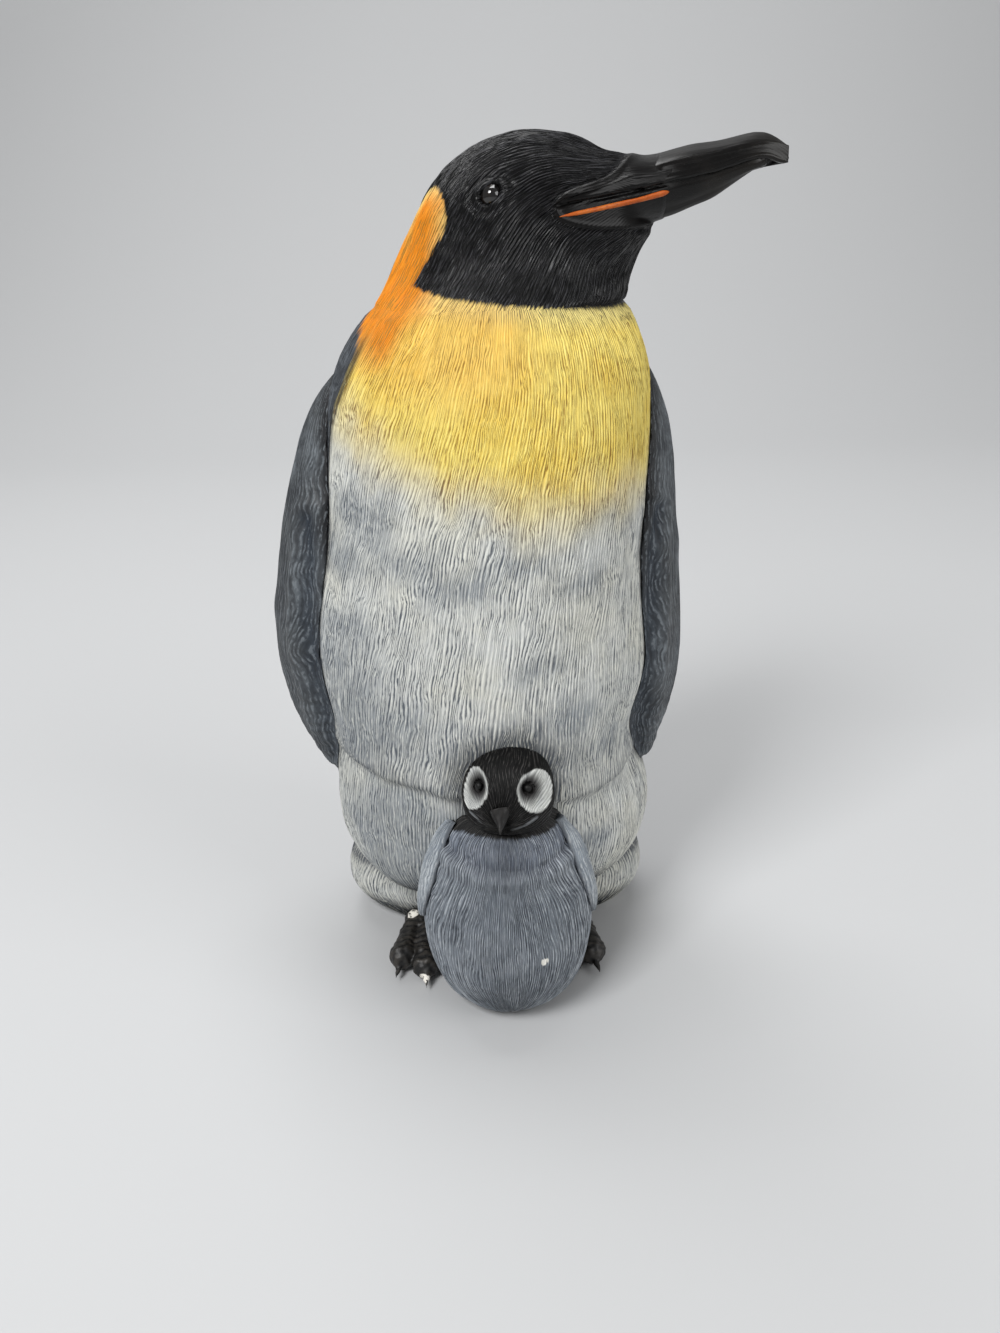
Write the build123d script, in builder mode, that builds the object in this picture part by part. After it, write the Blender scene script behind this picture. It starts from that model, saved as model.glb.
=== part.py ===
from build123d import *
import os

os.makedirs("parts", exist_ok=True)

# Penguin with a chick: hollow and solid castings that are pinned and glued together.
# The penguin faces -Y with its head turned to +X, its own left. The origin is on the
# ground under the body, at the underside of the felt.

# Fits: glue room round a pin or a spigot, and how far a cut runs past what it cuts.
GLUE_GAP = 0.1
OVERRUN = 3.0

# Felt pad under the base, and the bare rim left round it.
FELT_THICKNESS = 1.0
FELT_RIM = 2.0

# Body casting: belly and back above, hips below, hollow inside.
BODY_HEIGHT = 184.0
BODY_HALF_WIDTH = 47.5
BELLY_DEPTH = 46.0
BACK_DEPTH = 47.0
NECK_LEAN = 5.75
BODY_WALL = 6.0
HIP_HALF_WIDTH = 46.9
HIP_FRONT = 22.5
HIP_BACK = 43.0

# The hips' height is a share of the body's, so that the two keep running into each other.
HIP_HEIGHT_SHARE = 0.1576
HIP_HEIGHT = HIP_HEIGHT_SHARE * BODY_HEIGHT

# Height, sideways lean, half width, belly depth and back depth of each level section.
BODY_SECTION_SHARES = (
    (0.085, 0.00, 0.580, 0.470, 0.890),
    (0.103, 0.00, 0.800, 0.696, 0.910),
    (0.141, 0.00, 0.926, 0.848, 0.925),
    (0.190, 0.00, 0.996, 0.924, 0.945),
    (0.283, -0.17, 0.979, 0.967, 0.979),
    (0.451, -0.26, 1.000, 1.000, 1.000),
    (0.565, -0.26, 0.994, 0.989, 1.000),
    (0.799, 0.33, 0.920, 0.930, 0.965),
    (0.905, 0.55, 0.875, 0.820, 0.900),
    (0.962, 0.80, 0.785, 0.690, 0.800),
    (1.000, 1.00, 0.680, 0.560, 0.700),
)
CAVITY_ROWS = slice(3, -2)
HIP_SECTION_SHARES = (
    (0.00, 0.810, 0.750, 0.884),
    (0.19, 0.949, 0.889, 0.977),
    (0.43, 1.000, 1.000, 1.000),
    (0.74, 0.960, 0.889, 0.977),
    (1.00, 0.853, 0.444, 0.884),
)

# Neck spigot under the head, in a bore through the top of the body.
SPIGOT_RADIUS = 15.0
SPIGOT_LENGTH = 12.0

# Pouring hole under the body and the flanged plug that closes it.
PLUG_SET_BACK = 12.0
PLUG_RADIUS = 17.0
PLUG_LENGTH = 12.0
FLANGE_WIDTH = 3.5
FLANGE_THICKNESS = 3.0

# Head: hood and neck above the seam. Nape and face are its reach behind and ahead.
HEAD_HEIGHT = 40.0
HEAD_NAPE = 20.0
HEAD_FACE = 37.0
HEAD_HALF_THICKNESS = 20.3
HEAD_AXIS = 7.0
HEAD_BACK_SET = 2.0
HEAD_CROWN = 12.0

# Height, axis shift towards the crown, nape, face, half thickness and set-back.
HEAD_SECTION_SHARES = (
    (0.250, 0.00, 1.390, 0.900, 1.150, 1.50),
    (0.500, 0.00, 1.110, 0.985, 1.010, 1.00),
    (0.720, 0.12, 0.890, 0.925, 0.880, 1.00),
    (0.875, 0.45, 0.740, 0.610, 0.640, 1.00),
    (0.960, 0.75, 0.540, 0.360, 0.380, 1.00),
    (1.000, 1.00, 0.220, 0.120, 0.140, 1.00),
)

# Bill: it runs from the gape, in the cheek, to the tip, and its mouth line climbs.
BILL_LENGTH = 57.5
BILL_GAPE_SET = 21.0
BILL_GAPE_HEIGHT = 23.0
BILL_RISE = 10.1
BILL_HALF_WIDTH = 19.0
UPPER_BILL_DEPTH = 9.5
LOWER_BILL_DEPTH = 8.3
MOUTH_GAP = 0.3

# Distance along the bill, half width, and depth above and below the mouth line.
BILL_SECTION_SHARES = (
    (0.000, 1.000, 0.150, 0.250),
    (0.220, 0.730, 0.560, 0.780),
    (0.440, 0.450, 0.800, 1.000),
    (0.660, 0.325, 0.740, 0.760),
    (0.860, 0.230, 0.740, 0.330),
    (1.000, 0.120, 0.360, 0.100),
)

# Eyes: beads sunk into the hood, and the smaller pair on the chick.
EYE_RADIUS = 2.7
EYE_SET = 1.9
EYE_HEIGHT = 25.0
EYE_OFFSET = -2.3
CHICK_EYE_RADIUS = 1.5
CHICK_EYE_SPACING = 13.3
CHICK_EYE_HEIGHT = 13.2
CHICK_EYE_SHIFT = -1.35

# Flippers: from the shoulder to a tip beside the belly, standing proud of the body.
FLIPPER_TOP_SHARE = 0.9293
FLIPPER_TIP_SHARE = 0.2609
FLIPPER_HALF_CHORD = 21.0
FLIPPER_THICKNESS = 15.0
FLIPPER_SET_BACK = 5.0
FLIPPER_ROOT = 8.0

# Drop from the shoulder, chord, set-back, and how proud the right and the left one stand.
FLIPPER_SECTION_SHARES = (
    (0.00, 0.26, 1.0, -0.10, -0.05),
    (0.16, 0.66, 1.2, 0.58, 0.44),
    (0.36, 0.92, 1.2, 0.82, 0.62),
    (0.58, 1.00, 0.9, 0.90, 0.74),
    (0.78, 0.86, 0.5, 0.80, 0.66),
    (0.92, 0.52, 0.0, 0.36, 0.32),
    (1.00, 0.18, -0.4, -0.06, -0.08),
)

# Tail: a flat wedge behind the hips.
TAIL_LENGTH = 24.0
TAIL_HALF_WIDTH = 15.0
TAIL_HEIGHT = 26.0
TAIL_ROOT = 9.0
TAIL_SECTION_SHARES = (
    (0.00, 1.00, 1.00),
    (0.40, 0.95, 0.62),
    (0.75, 0.80, 0.32),
    (1.00, 0.55, 0.12),
)

# Feet: heel under the hips, three toes with claws and a web between them.
FOOT_SPREAD = 23.0
FOOT_HEEL = 12.0
FOOT_LENGTH = 27.0
HEEL_RADIUS = 5.0
TOE_RADIUS = 3.9
CLAW_LENGTH = 4.5
CLAW_RADIUS = 1.9
WEB_THICKNESS = 3.6
TOE_ANGLES = (-22.0, -4.0, 13.0)
TOE_LENGTH_SHARES = (0.92, 1.0, 0.86)
WEB_SHARE = 0.82
KNUCKLE_SHARE = 0.55
SOLE_SHARE = 0.75

# Chick: pear-shaped body against the belly, round head, small bill and flippers.
CHICK_SHIFT = 3.5
CHICK_HEIGHT = 58.0
CHICK_HALF_WIDTH = 24.0
CHICK_FORWARD = 38.0
CHICK_FRONT = 28.0
CHICK_BACK = 12.0
CHICK_SECTION_SHARES = (
    (0.00, 0.68, 0.62, 1.0),
    (0.08, 0.85, 0.80, 1.0),
    (0.25, 0.97, 0.96, 1.0),
    (0.47, 1.00, 1.00, 1.0),
    (0.74, 0.86, 0.87, 1.0),
    (0.92, 0.68, 0.72, 1.0),
    (1.00, 0.52, 0.60, 0.8),
)
CHICK_HEAD_HEIGHT = 20.5
CHICK_HEAD_RADIUS = 12.15
CHICK_HEAD_FORWARD = 45.5
CHICK_HEAD_SHIFT = 1.0
CHICK_HEAD_SHARES = ((0.00, 0.88), (0.14, 0.98), (0.36, 1.00), (0.60, 0.94), (0.80, 0.75), (0.94, 0.42))
CHICK_BILL_LENGTH = 5.5
CHICK_BILL_RADIUS = 2.6
CHICK_BILL_HEIGHT = 7.0
CHICK_BILL_SHIFT = -2.4
CHICK_BILL_DROOP = 42.0
CHICK_FLIPPER_LENGTH = 31.0
CHICK_FLIPPER_TOP_GAP = 2.0
CHICK_FLIPPER_THICKNESS = 5.0
CHICK_FLIPPER_HALF_CHORD = 5.5
CHICK_FLIPPER_FORWARD = 6.0
CHICK_FLIPPER_SHARES = (
    (0.00, 0.45, 0.30),
    (0.25, 0.80, 0.44),
    (0.55, 1.00, 0.46),
    (0.85, 0.72, 0.34),
    (1.00, 0.34, 0.16),
)

# Steel pins inside the glued joints.
PIN_RADIUS = 2.0
PIN_LENGTH = 13.0
SMALL_PIN_RADIUS = 1.4
BILL_PIN_LENGTH = 26.0
BILL_PIN_SET = 35.0
BILL_PIN_HEIGHT = 31.5
FLIPPER_PIN_SHARES = (0.40, 0.66)
FOOT_PIN_HEIGHT = 5.5
TAIL_PIN_HEIGHT = 10.0
CHICK_PIN_HEIGHT = 33.0
CHICK_HEAD_PIN_LENGTH = 14.0
CHICK_HEAD_PIN_SET = 5.0

BODY_TOP = FELT_THICKNESS + BODY_HEIGHT
BODY_SIDES = (-1, 1)


def oval(centre, left, right, front, back):
    """Level section made of four quarter ellipses round a centre."""
    with BuildSketch(Plane(centre)) as section:
        with BuildLine():
            EllipticalCenterArc((0, 0), right, back, 0, arc_size=90)
            EllipticalCenterArc((0, 0), left, back, 90, arc_size=90)
            EllipticalCenterArc((0, 0), left, front, 180, arc_size=90)
            EllipticalCenterArc((0, 0), right, front, 270, arc_size=90)
        make_face()
    return section.sketch


def body_section(height, lean, width, belly, back, inset=0):
    """Level section of the body, or of its cavity when it is inset by the wall."""
    half = width * BODY_HALF_WIDTH - inset
    centre = (lean * NECK_LEAN, 0, FELT_THICKNESS + height * BODY_HEIGHT)
    return oval(centre, half, half, belly * BELLY_DEPTH - inset, back * BACK_DEPTH - inset)


def hip_section(height, width, front, back):
    """Level section of the hips."""
    half = width * HIP_HALF_WIDTH
    centre = (0, 0, FELT_THICKNESS + height * HIP_HEIGHT)
    return oval(centre, half, half, front * HIP_FRONT, back * HIP_BACK)


def body_side(z):
    """Sideways centre and half width of the body at a height, between its sections."""
    share = (z - FELT_THICKNESS) / BODY_HEIGHT
    for low, high in zip(BODY_SECTION_SHARES, BODY_SECTION_SHARES[1:]):
        if share <= high[0]:
            break
    mix = (share - low[0]) / (high[0] - low[0])
    lean = low[1] + mix * (high[1] - low[1])
    width = low[2] + mix * (high[2] - low[2])
    return lean * NECK_LEAN, width * BODY_HALF_WIDTH


def surface_y(solid, x, z, side):
    """Place along Y where a line at x and z leaves a solid, in front (-1) or behind (1)."""
    hits = solid.find_intersection_points(Axis((x, 0, z), (0, 1, 0)))
    return side * max(side * point.Y for point, normal in hits)


def discs(planes, radius):
    """One disc on each plane, from which pins and their holes are drawn out."""
    with BuildSketch(*planes) as section:
        Circle(radius)
    return section.sketch


# Outer forms of the body, which the pieces that sit on it are cut to.
with BuildPart() as body_form:
    loft([body_section(*row) for row in BODY_SECTION_SHARES])
    loft([hip_section(*row) for row in HIP_SECTION_SHARES])

# Head and neck, from the seam on the body to the crown.
neck_lean = BODY_SECTION_SHARES[-1][1] * NECK_LEAN
head_sections = [body_section(*BODY_SECTION_SHARES[-1])]
for height, shift, nape, face, thickness, set_back in HEAD_SECTION_SHARES:
    centre = (
        HEAD_AXIS + shift * HEAD_CROWN,
        set_back * HEAD_BACK_SET,
        BODY_TOP + height * HEAD_HEIGHT,
    )
    half_thickness = thickness * HEAD_HALF_THICKNESS
    head_sections.append(
        oval(centre, nape * HEAD_NAPE, face * HEAD_FACE, half_thickness, half_thickness)
    )
with BuildPart() as head_form:
    loft(head_sections)


def bill_section(along, half_width, depth, side, gap):
    """Upright half oval above (1) or below (-1) the mouth line, at a share of the bill."""
    half = half_width * BILL_HALF_WIDTH
    mouth = BODY_TOP + BILL_GAPE_HEIGHT + along * BILL_RISE + side * gap
    origin = (BILL_GAPE_SET + along * BILL_LENGTH, HEAD_BACK_SET, mouth)
    with BuildSketch(Plane(origin, x_dir=(0, 1, 0), z_dir=(1, 0, 0))) as section:
        with BuildLine():
            EllipticalCenterArc((0, 0), half, depth, 0, arc_size=side * 90)
            EllipticalCenterArc((0, 0), half, depth, side * 90, arc_size=side * 90)
            Line((-half, 0), (half, 0))
        make_face()
    return section.sketch


with BuildPart() as upper_bill:
    loft(
        [
            bill_section(along, width, upper * UPPER_BILL_DEPTH, 1, 0)
            for along, width, upper, lower in BILL_SECTION_SHARES
        ]
    )

with BuildPart() as lower_bill:
    loft(
        [
            bill_section(along, width, lower * LOWER_BILL_DEPTH, -1, MOUTH_GAP)
            for along, width, upper, lower in BILL_SECTION_SHARES
        ]
    )

bill_pin_plane = Plane((BILL_PIN_SET, HEAD_BACK_SET, BODY_TOP + BILL_PIN_HEIGHT), z_dir=(1, 0, 0))
with BuildPart() as bill_pin:
    extrude(discs([bill_pin_plane], SMALL_PIN_RADIUS), amount=BILL_PIN_LENGTH / 2, both=True)

with BuildPart() as bill_pin_hole:
    extrude(
        discs([bill_pin_plane], SMALL_PIN_RADIUS + GLUE_GAP),
        amount=BILL_PIN_LENGTH / 2 + GLUE_GAP,
        both=True,
    )

with upper_bill:
    add(bill_pin_hole.part, mode=Mode.SUBTRACT)

# Eyes, sunk to most of their radius where the hood's side is.
eye_x = HEAD_AXIS + EYE_OFFSET
eye_z = BODY_TOP + EYE_HEIGHT
eye_places = []
for side in BODY_SIDES:
    cheek = surface_y(head_form.part, eye_x, eye_z, side)
    eye_places.append((eye_x, cheek - side * EYE_SET, eye_z))

with BuildPart() as right_eye:
    with Locations(eye_places[0]):
        Sphere(EYE_RADIUS)

with BuildPart() as left_eye:
    with Locations(eye_places[1]):
        Sphere(EYE_RADIUS)

with BuildPart() as head:
    add(head_form.part)
    extrude(discs([Plane((neck_lean, 0, BODY_TOP))], SPIGOT_RADIUS), amount=-SPIGOT_LENGTH)
    for piece in (upper_bill, lower_bill, bill_pin_hole, right_eye, left_eye):
        add(piece.part, mode=Mode.SUBTRACT)

# Flippers, each cut to the side of the body that it lies on.
flipper_top = FELT_THICKNESS + FLIPPER_TOP_SHARE * BODY_HEIGHT
flipper_length = (FLIPPER_TOP_SHARE - FLIPPER_TIP_SHARE) * BODY_HEIGHT


def flipper_section(drop, chord, set_back, proud, side):
    """Level section of a flipper, sunk into the body so that the cut leaves no gap."""
    z = flipper_top - drop * flipper_length
    lean, half_width = body_side(z)
    half_chord = chord * FLIPPER_HALF_CHORD
    root = side * (half_width - FLIPPER_ROOT)
    reach = FLIPPER_ROOT + proud * FLIPPER_THICKNESS
    return oval((lean + root, set_back * FLIPPER_SET_BACK, z), reach, reach, half_chord, half_chord)


flipper_pin_planes = {}
for side in BODY_SIDES:
    planes = []
    for share in FLIPPER_PIN_SHARES:
        z = flipper_top - share * flipper_length
        lean, half_width = body_side(z)
        planes.append(Plane((lean + side * half_width, FLIPPER_SET_BACK, z), z_dir=(side, 0, 0)))
    flipper_pin_planes[side] = planes
all_flipper_pin_planes = flipper_pin_planes[-1] + flipper_pin_planes[1]

with BuildPart() as right_flipper:
    loft(
        [
            flipper_section(drop, chord, set_back, right, -1)
            for drop, chord, set_back, right, left in FLIPPER_SECTION_SHARES
        ]
    )
    add(body_form.part, mode=Mode.SUBTRACT)

with BuildPart() as left_flipper:
    loft(
        [
            flipper_section(drop, chord, set_back, left, 1)
            for drop, chord, set_back, right, left in FLIPPER_SECTION_SHARES
        ]
    )
    add(body_form.part, mode=Mode.SUBTRACT)

with BuildPart() as flipper_pins:
    extrude(discs(all_flipper_pin_planes, PIN_RADIUS), amount=PIN_LENGTH / 2, both=True)

# Tail, cut to the back of the hips.
tail_start = HIP_BACK - TAIL_ROOT


def tail_section(along, width, height):
    """Upright oval of the tail, standing on the level of the castings' undersides."""
    half_height = height * TAIL_HEIGHT / 2
    origin = (0, tail_start + along * (TAIL_LENGTH + TAIL_ROOT), FELT_THICKNESS + half_height)
    with BuildSketch(Plane(origin, x_dir=(-1, 0, 0), z_dir=(0, 1, 0))) as section:
        Ellipse(width * TAIL_HALF_WIDTH, half_height)
    return section.sketch


with BuildPart() as tail:
    loft([tail_section(*row) for row in TAIL_SECTION_SHARES])
    add(body_form.part, mode=Mode.SUBTRACT)

tail_pin_plane = Plane(
    (0, surface_y(body_form.part, 0, TAIL_PIN_HEIGHT, 1), TAIL_PIN_HEIGHT), z_dir=(0, 1, 0)
)
with BuildPart() as tail_pin:
    extrude(discs([tail_pin_plane], PIN_RADIUS), amount=PIN_LENGTH / 2, both=True)


def make_foot(side):
    """Whole foot of one side: toes, claws and web, pointing forwards from the heel."""
    heel = Vector(side * FOOT_SPREAD, -FOOT_HEEL, FELT_THICKNESS)
    with BuildPart() as foot:
        web_points = [heel]
        for angle, length_share in zip(TOE_ANGLES, TOE_LENGTH_SHARES):
            ahead = Vector(0, -1, 0).rotate(Axis.Z, side * angle)
            length = length_share * FOOT_LENGTH
            stations = ((0, HEEL_RADIUS), (KNUCKLE_SHARE, TOE_RADIUS), (1, TOE_RADIUS))
            sections = []
            for along, radius in stations:
                middle = heel + ahead * (length * along) + Vector(0, 0, SOLE_SHARE * radius)
                sections.append(discs([Plane(middle, z_dir=ahead)], radius))
            loft(sections)
            toe_end = heel + ahead * length + Vector(0, 0, SOLE_SHARE * TOE_RADIUS)
            with Locations(toe_end):
                Sphere(TOE_RADIUS)
            claw_root = Plane(toe_end, z_dir=ahead)
            claw_tip = heel + ahead * (length + TOE_RADIUS + CLAW_LENGTH) + Vector(0, 0, CLAW_RADIUS / 2)
            loft([discs([claw_root], CLAW_RADIUS), Vertex(*claw_tip)])
            web_points.append(heel + ahead * (length * WEB_SHARE))
        with BuildSketch(Plane.XY.offset(FELT_THICKNESS)) as web:
            with BuildLine():
                Polyline(*[(point.X, point.Y) for point in web_points], close=True)
            make_face()
        extrude(web.sketch, amount=WEB_THICKNESS)
        split(bisect_by=Plane.XY.offset(FELT_THICKNESS), keep=Keep.TOP)
        add(body_form.part, mode=Mode.SUBTRACT)
    return foot


right_foot = make_foot(-1)
left_foot = make_foot(1)

foot_pin_planes = []
for side in BODY_SIDES:
    front = surface_y(body_form.part, side * FOOT_SPREAD, FOOT_PIN_HEIGHT, -1)
    foot_pin_planes.append(Plane((side * FOOT_SPREAD, front, FOOT_PIN_HEIGHT), z_dir=(0, -1, 0)))
with BuildPart() as foot_pins:
    extrude(discs(foot_pin_planes, PIN_RADIUS), amount=PIN_LENGTH / 2, both=True)


def chick_section(height, width, front, back):
    """Level section of the chick's body."""
    half = width * CHICK_HALF_WIDTH
    centre = (CHICK_SHIFT, -CHICK_FORWARD, FELT_THICKNESS + height * CHICK_HEIGHT)
    return oval(centre, half, half, front * CHICK_FRONT, back * CHICK_BACK)


# Chick, cut to the belly behind it and to the feet that it stands over.
chick_top = FELT_THICKNESS + CHICK_HEIGHT
with BuildPart() as chick_form:
    loft([chick_section(*row) for row in CHICK_SECTION_SHARES])

chick_head_x = CHICK_SHIFT + CHICK_HEAD_SHIFT
with BuildPart() as chick_head_form:
    loft(
        [
            discs(
                [Plane((chick_head_x, -CHICK_HEAD_FORWARD, chick_top + height * CHICK_HEAD_HEIGHT))],
                width * CHICK_HEAD_RADIUS,
            )
            for height, width in CHICK_HEAD_SHARES
        ]
        + [Vertex(chick_head_x, -CHICK_HEAD_FORWARD, chick_top + CHICK_HEAD_HEIGHT)]
    )

chick_eye_z = chick_top + CHICK_EYE_HEIGHT
with BuildPart() as chick_eyes:
    for side in BODY_SIDES:
        x = chick_head_x + CHICK_EYE_SHIFT + side * CHICK_EYE_SPACING / 2
        with Locations((x, surface_y(chick_head_form.part, x, chick_eye_z, -1), chick_eye_z)):
            Sphere(CHICK_EYE_RADIUS)

chick_bill_z = chick_top + CHICK_BILL_HEIGHT
chick_bill_x = chick_head_x + CHICK_BILL_SHIFT
chick_face_y = surface_y(chick_head_form.part, chick_bill_x, chick_bill_z, -1)
bill_way = Vector(0, -1, 0).rotate(Axis.X, CHICK_BILL_DROOP)
bill_root = Vector(chick_bill_x, chick_face_y, chick_bill_z) - bill_way * CHICK_BILL_RADIUS
with BuildPart() as chick_bill:
    loft(
        [
            discs([Plane(bill_root, z_dir=bill_way)], CHICK_BILL_RADIUS),
            Vertex(*(bill_root + bill_way * (CHICK_BILL_LENGTH + CHICK_BILL_RADIUS))),
        ]
    )
    add(chick_head_form.part, mode=Mode.SUBTRACT)

chick_pin_plane = Plane(
    (CHICK_SHIFT, surface_y(body_form.part, CHICK_SHIFT, CHICK_PIN_HEIGHT, -1), CHICK_PIN_HEIGHT),
    z_dir=(0, -1, 0),
)
with BuildPart() as chick_pin:
    extrude(discs([chick_pin_plane], PIN_RADIUS), amount=PIN_LENGTH / 2, both=True)

chick_head_pin_plane = Plane((chick_head_x, -CHICK_HEAD_FORWARD - CHICK_HEAD_PIN_SET, chick_top))
with BuildPart() as chick_head_pin:
    extrude(
        discs([chick_head_pin_plane], SMALL_PIN_RADIUS), amount=CHICK_HEAD_PIN_LENGTH / 2, both=True
    )


def cut_pin_hole(planes, radius, length):
    """Hole for pins on the planes, with glue room all round."""
    extrude(
        discs(planes, radius + GLUE_GAP), amount=length / 2 + GLUE_GAP, both=True, mode=Mode.SUBTRACT
    )


with BuildPart() as chick_body:
    add(chick_form.part)
    for piece in (body_form, right_foot, left_foot):
        add(piece.part, mode=Mode.SUBTRACT)
    cut_pin_hole([chick_pin_plane], PIN_RADIUS, PIN_LENGTH)
    cut_pin_hole([chick_head_pin_plane], SMALL_PIN_RADIUS, CHICK_HEAD_PIN_LENGTH)

with BuildPart() as chick_head:
    add(chick_head_form.part)
    for piece in (chick_eyes, body_form):
        add(piece.part, mode=Mode.SUBTRACT)
    cut_pin_hole([chick_head_pin_plane], SMALL_PIN_RADIUS, CHICK_HEAD_PIN_LENGTH)


def make_chick_flipper(side):
    """Thin flipper of the chick, cut to its body."""
    sections = []
    for drop, chord, proud in CHICK_FLIPPER_SHARES:
        z = chick_top - CHICK_FLIPPER_TOP_GAP - drop * CHICK_FLIPPER_LENGTH
        share = (z - FELT_THICKNESS) / CHICK_HEIGHT
        for low, high in zip(CHICK_SECTION_SHARES, CHICK_SECTION_SHARES[1:]):
            if share <= high[0]:
                break
        mix = (share - low[0]) / (high[0] - low[0])
        half_width = (low[1] + mix * (high[1] - low[1])) * CHICK_HALF_WIDTH
        x = CHICK_SHIFT + side * (half_width - CHICK_FLIPPER_THICKNESS)
        reach = CHICK_FLIPPER_THICKNESS + proud * CHICK_FLIPPER_THICKNESS
        half_chord = chord * CHICK_FLIPPER_HALF_CHORD
        centre = (x, -CHICK_FORWARD - CHICK_FLIPPER_FORWARD, z)
        sections.append(oval(centre, reach, reach, half_chord, half_chord))
    with BuildPart() as flipper:
        loft(sections)
        for piece in (chick_form, body_form):
            add(piece.part, mode=Mode.SUBTRACT)
    return flipper


chick_right_flipper = make_chick_flipper(-1)
chick_left_flipper = make_chick_flipper(1)

# Holes for the pins, in the pieces that they join.
with right_flipper:
    cut_pin_hole(flipper_pin_planes[-1], PIN_RADIUS, PIN_LENGTH)
with left_flipper:
    cut_pin_hole(flipper_pin_planes[1], PIN_RADIUS, PIN_LENGTH)
with tail:
    cut_pin_hole([tail_pin_plane], PIN_RADIUS, PIN_LENGTH)
with right_foot:
    cut_pin_hole(foot_pin_planes[:1], PIN_RADIUS, PIN_LENGTH)
with left_foot:
    cut_pin_hole(foot_pin_planes[1:], PIN_RADIUS, PIN_LENGTH)

# Body casting, hollowed and bored for the head's spigot, the plug and the pins.
cavity_rows = BODY_SECTION_SHARES[CAVITY_ROWS]
cavity_bottom = FELT_THICKNESS + cavity_rows[0][0] * BODY_HEIGHT
cavity_top = FELT_THICKNESS + cavity_rows[-1][0] * BODY_HEIGHT
ground = Plane((0, PLUG_SET_BACK, FELT_THICKNESS))
with BuildPart() as torso:
    add(body_form.part)
    loft([body_section(*row, inset=BODY_WALL) for row in cavity_rows], mode=Mode.SUBTRACT)
    extrude(
        discs([Plane((neck_lean, 0, BODY_TOP))], SPIGOT_RADIUS + GLUE_GAP),
        amount=cavity_top - BODY_TOP - OVERRUN,
        mode=Mode.SUBTRACT,
    )
    extrude(
        discs([ground], PLUG_RADIUS + GLUE_GAP),
        amount=cavity_bottom - FELT_THICKNESS + OVERRUN,
        mode=Mode.SUBTRACT,
    )
    extrude(
        discs([ground], PLUG_RADIUS + FLANGE_WIDTH + GLUE_GAP),
        amount=FLANGE_THICKNESS,
        mode=Mode.SUBTRACT,
    )
    cut_pin_hole(all_flipper_pin_planes, PIN_RADIUS, PIN_LENGTH)
    cut_pin_hole([tail_pin_plane, chick_pin_plane] + foot_pin_planes, PIN_RADIUS, PIN_LENGTH)

with BuildPart() as base_plug:
    extrude(discs([ground], PLUG_RADIUS + FLANGE_WIDTH), amount=FLANGE_THICKNESS)
    extrude(discs([ground], PLUG_RADIUS), amount=PLUG_LENGTH)

sole_width, sole_front, sole_back = HIP_SECTION_SHARES[0][1:]
with BuildPart() as felt_pad:
    extrude(
        oval(
            (0, 0, 0),
            sole_width * HIP_HALF_WIDTH - FELT_RIM,
            sole_width * HIP_HALF_WIDTH - FELT_RIM,
            sole_front * HIP_FRONT - FELT_RIM,
            sole_back * HIP_BACK - FELT_RIM,
        ),
        amount=FELT_THICKNESS,
    )

pieces = {
    "torso": torso,
    "base_plug": base_plug,
    "felt_pad": felt_pad,
    "head": head,
    "upper_bill": upper_bill,
    "lower_bill": lower_bill,
    "bill_pin": bill_pin,
    "right_eye": right_eye,
    "left_eye": left_eye,
    "right_flipper": right_flipper,
    "left_flipper": left_flipper,
    "flipper_pins": flipper_pins,
    "tail": tail,
    "tail_pin": tail_pin,
    "right_foot": right_foot,
    "left_foot": left_foot,
    "foot_pins": foot_pins,
    "chick_body": chick_body,
    "chick_head": chick_head,
    "chick_bill": chick_bill,
    "chick_eyes": chick_eyes,
    "chick_right_flipper": chick_right_flipper,
    "chick_left_flipper": chick_left_flipper,
    "chick_pin": chick_pin,
    "chick_head_pin": chick_head_pin,
}
for name, piece in pieces.items():
    piece.part.label = name
    export_step(piece.part, f"parts/{name}.step")
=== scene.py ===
# %% [markdown]
# Penguin with a chick. The real object is a painted cast ornament: the castings are combed with fine
# strokes that stand for feathers, then washed with dark paint, dry-brushed pale and varnished in places.
# The solids give every piece its place and main form. Here each one gets a fine skin that lies on its
# solid, the strokes and folds are pressed into that skin, and masks on its points steer the paint.

# %% The solids and the tools
import math

import bmesh
import bpy
import numpy as np
from mathutils import Matrix, Vector
from mathutils.bvhtree import BVHTree


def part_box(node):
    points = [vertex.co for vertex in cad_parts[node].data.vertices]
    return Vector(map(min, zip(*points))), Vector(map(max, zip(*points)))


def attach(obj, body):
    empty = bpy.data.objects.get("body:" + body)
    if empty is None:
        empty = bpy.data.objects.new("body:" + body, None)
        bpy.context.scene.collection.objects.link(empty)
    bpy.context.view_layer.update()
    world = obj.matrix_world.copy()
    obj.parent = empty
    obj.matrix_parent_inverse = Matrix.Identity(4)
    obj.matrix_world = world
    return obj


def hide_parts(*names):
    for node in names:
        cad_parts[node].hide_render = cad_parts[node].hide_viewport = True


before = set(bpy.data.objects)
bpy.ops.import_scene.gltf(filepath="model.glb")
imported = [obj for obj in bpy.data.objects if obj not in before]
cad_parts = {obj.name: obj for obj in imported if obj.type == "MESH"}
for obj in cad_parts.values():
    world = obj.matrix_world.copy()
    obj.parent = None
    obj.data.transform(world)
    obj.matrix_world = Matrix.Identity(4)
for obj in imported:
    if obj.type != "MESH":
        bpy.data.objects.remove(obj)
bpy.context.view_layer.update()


def add_object(name, data):
    """New object, linked into the scene."""
    made = bpy.data.objects.new(name, data)
    bpy.context.scene.collection.objects.link(made)
    return made


def smooth_mesh(name, bm):
    """Mesh of a finished bmesh, shaded smooth."""
    for face in bm.faces:
        face.smooth = True
    mesh = bpy.data.meshes.new(name)
    bm.to_mesh(mesh)
    bm.free()
    return mesh

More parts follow.
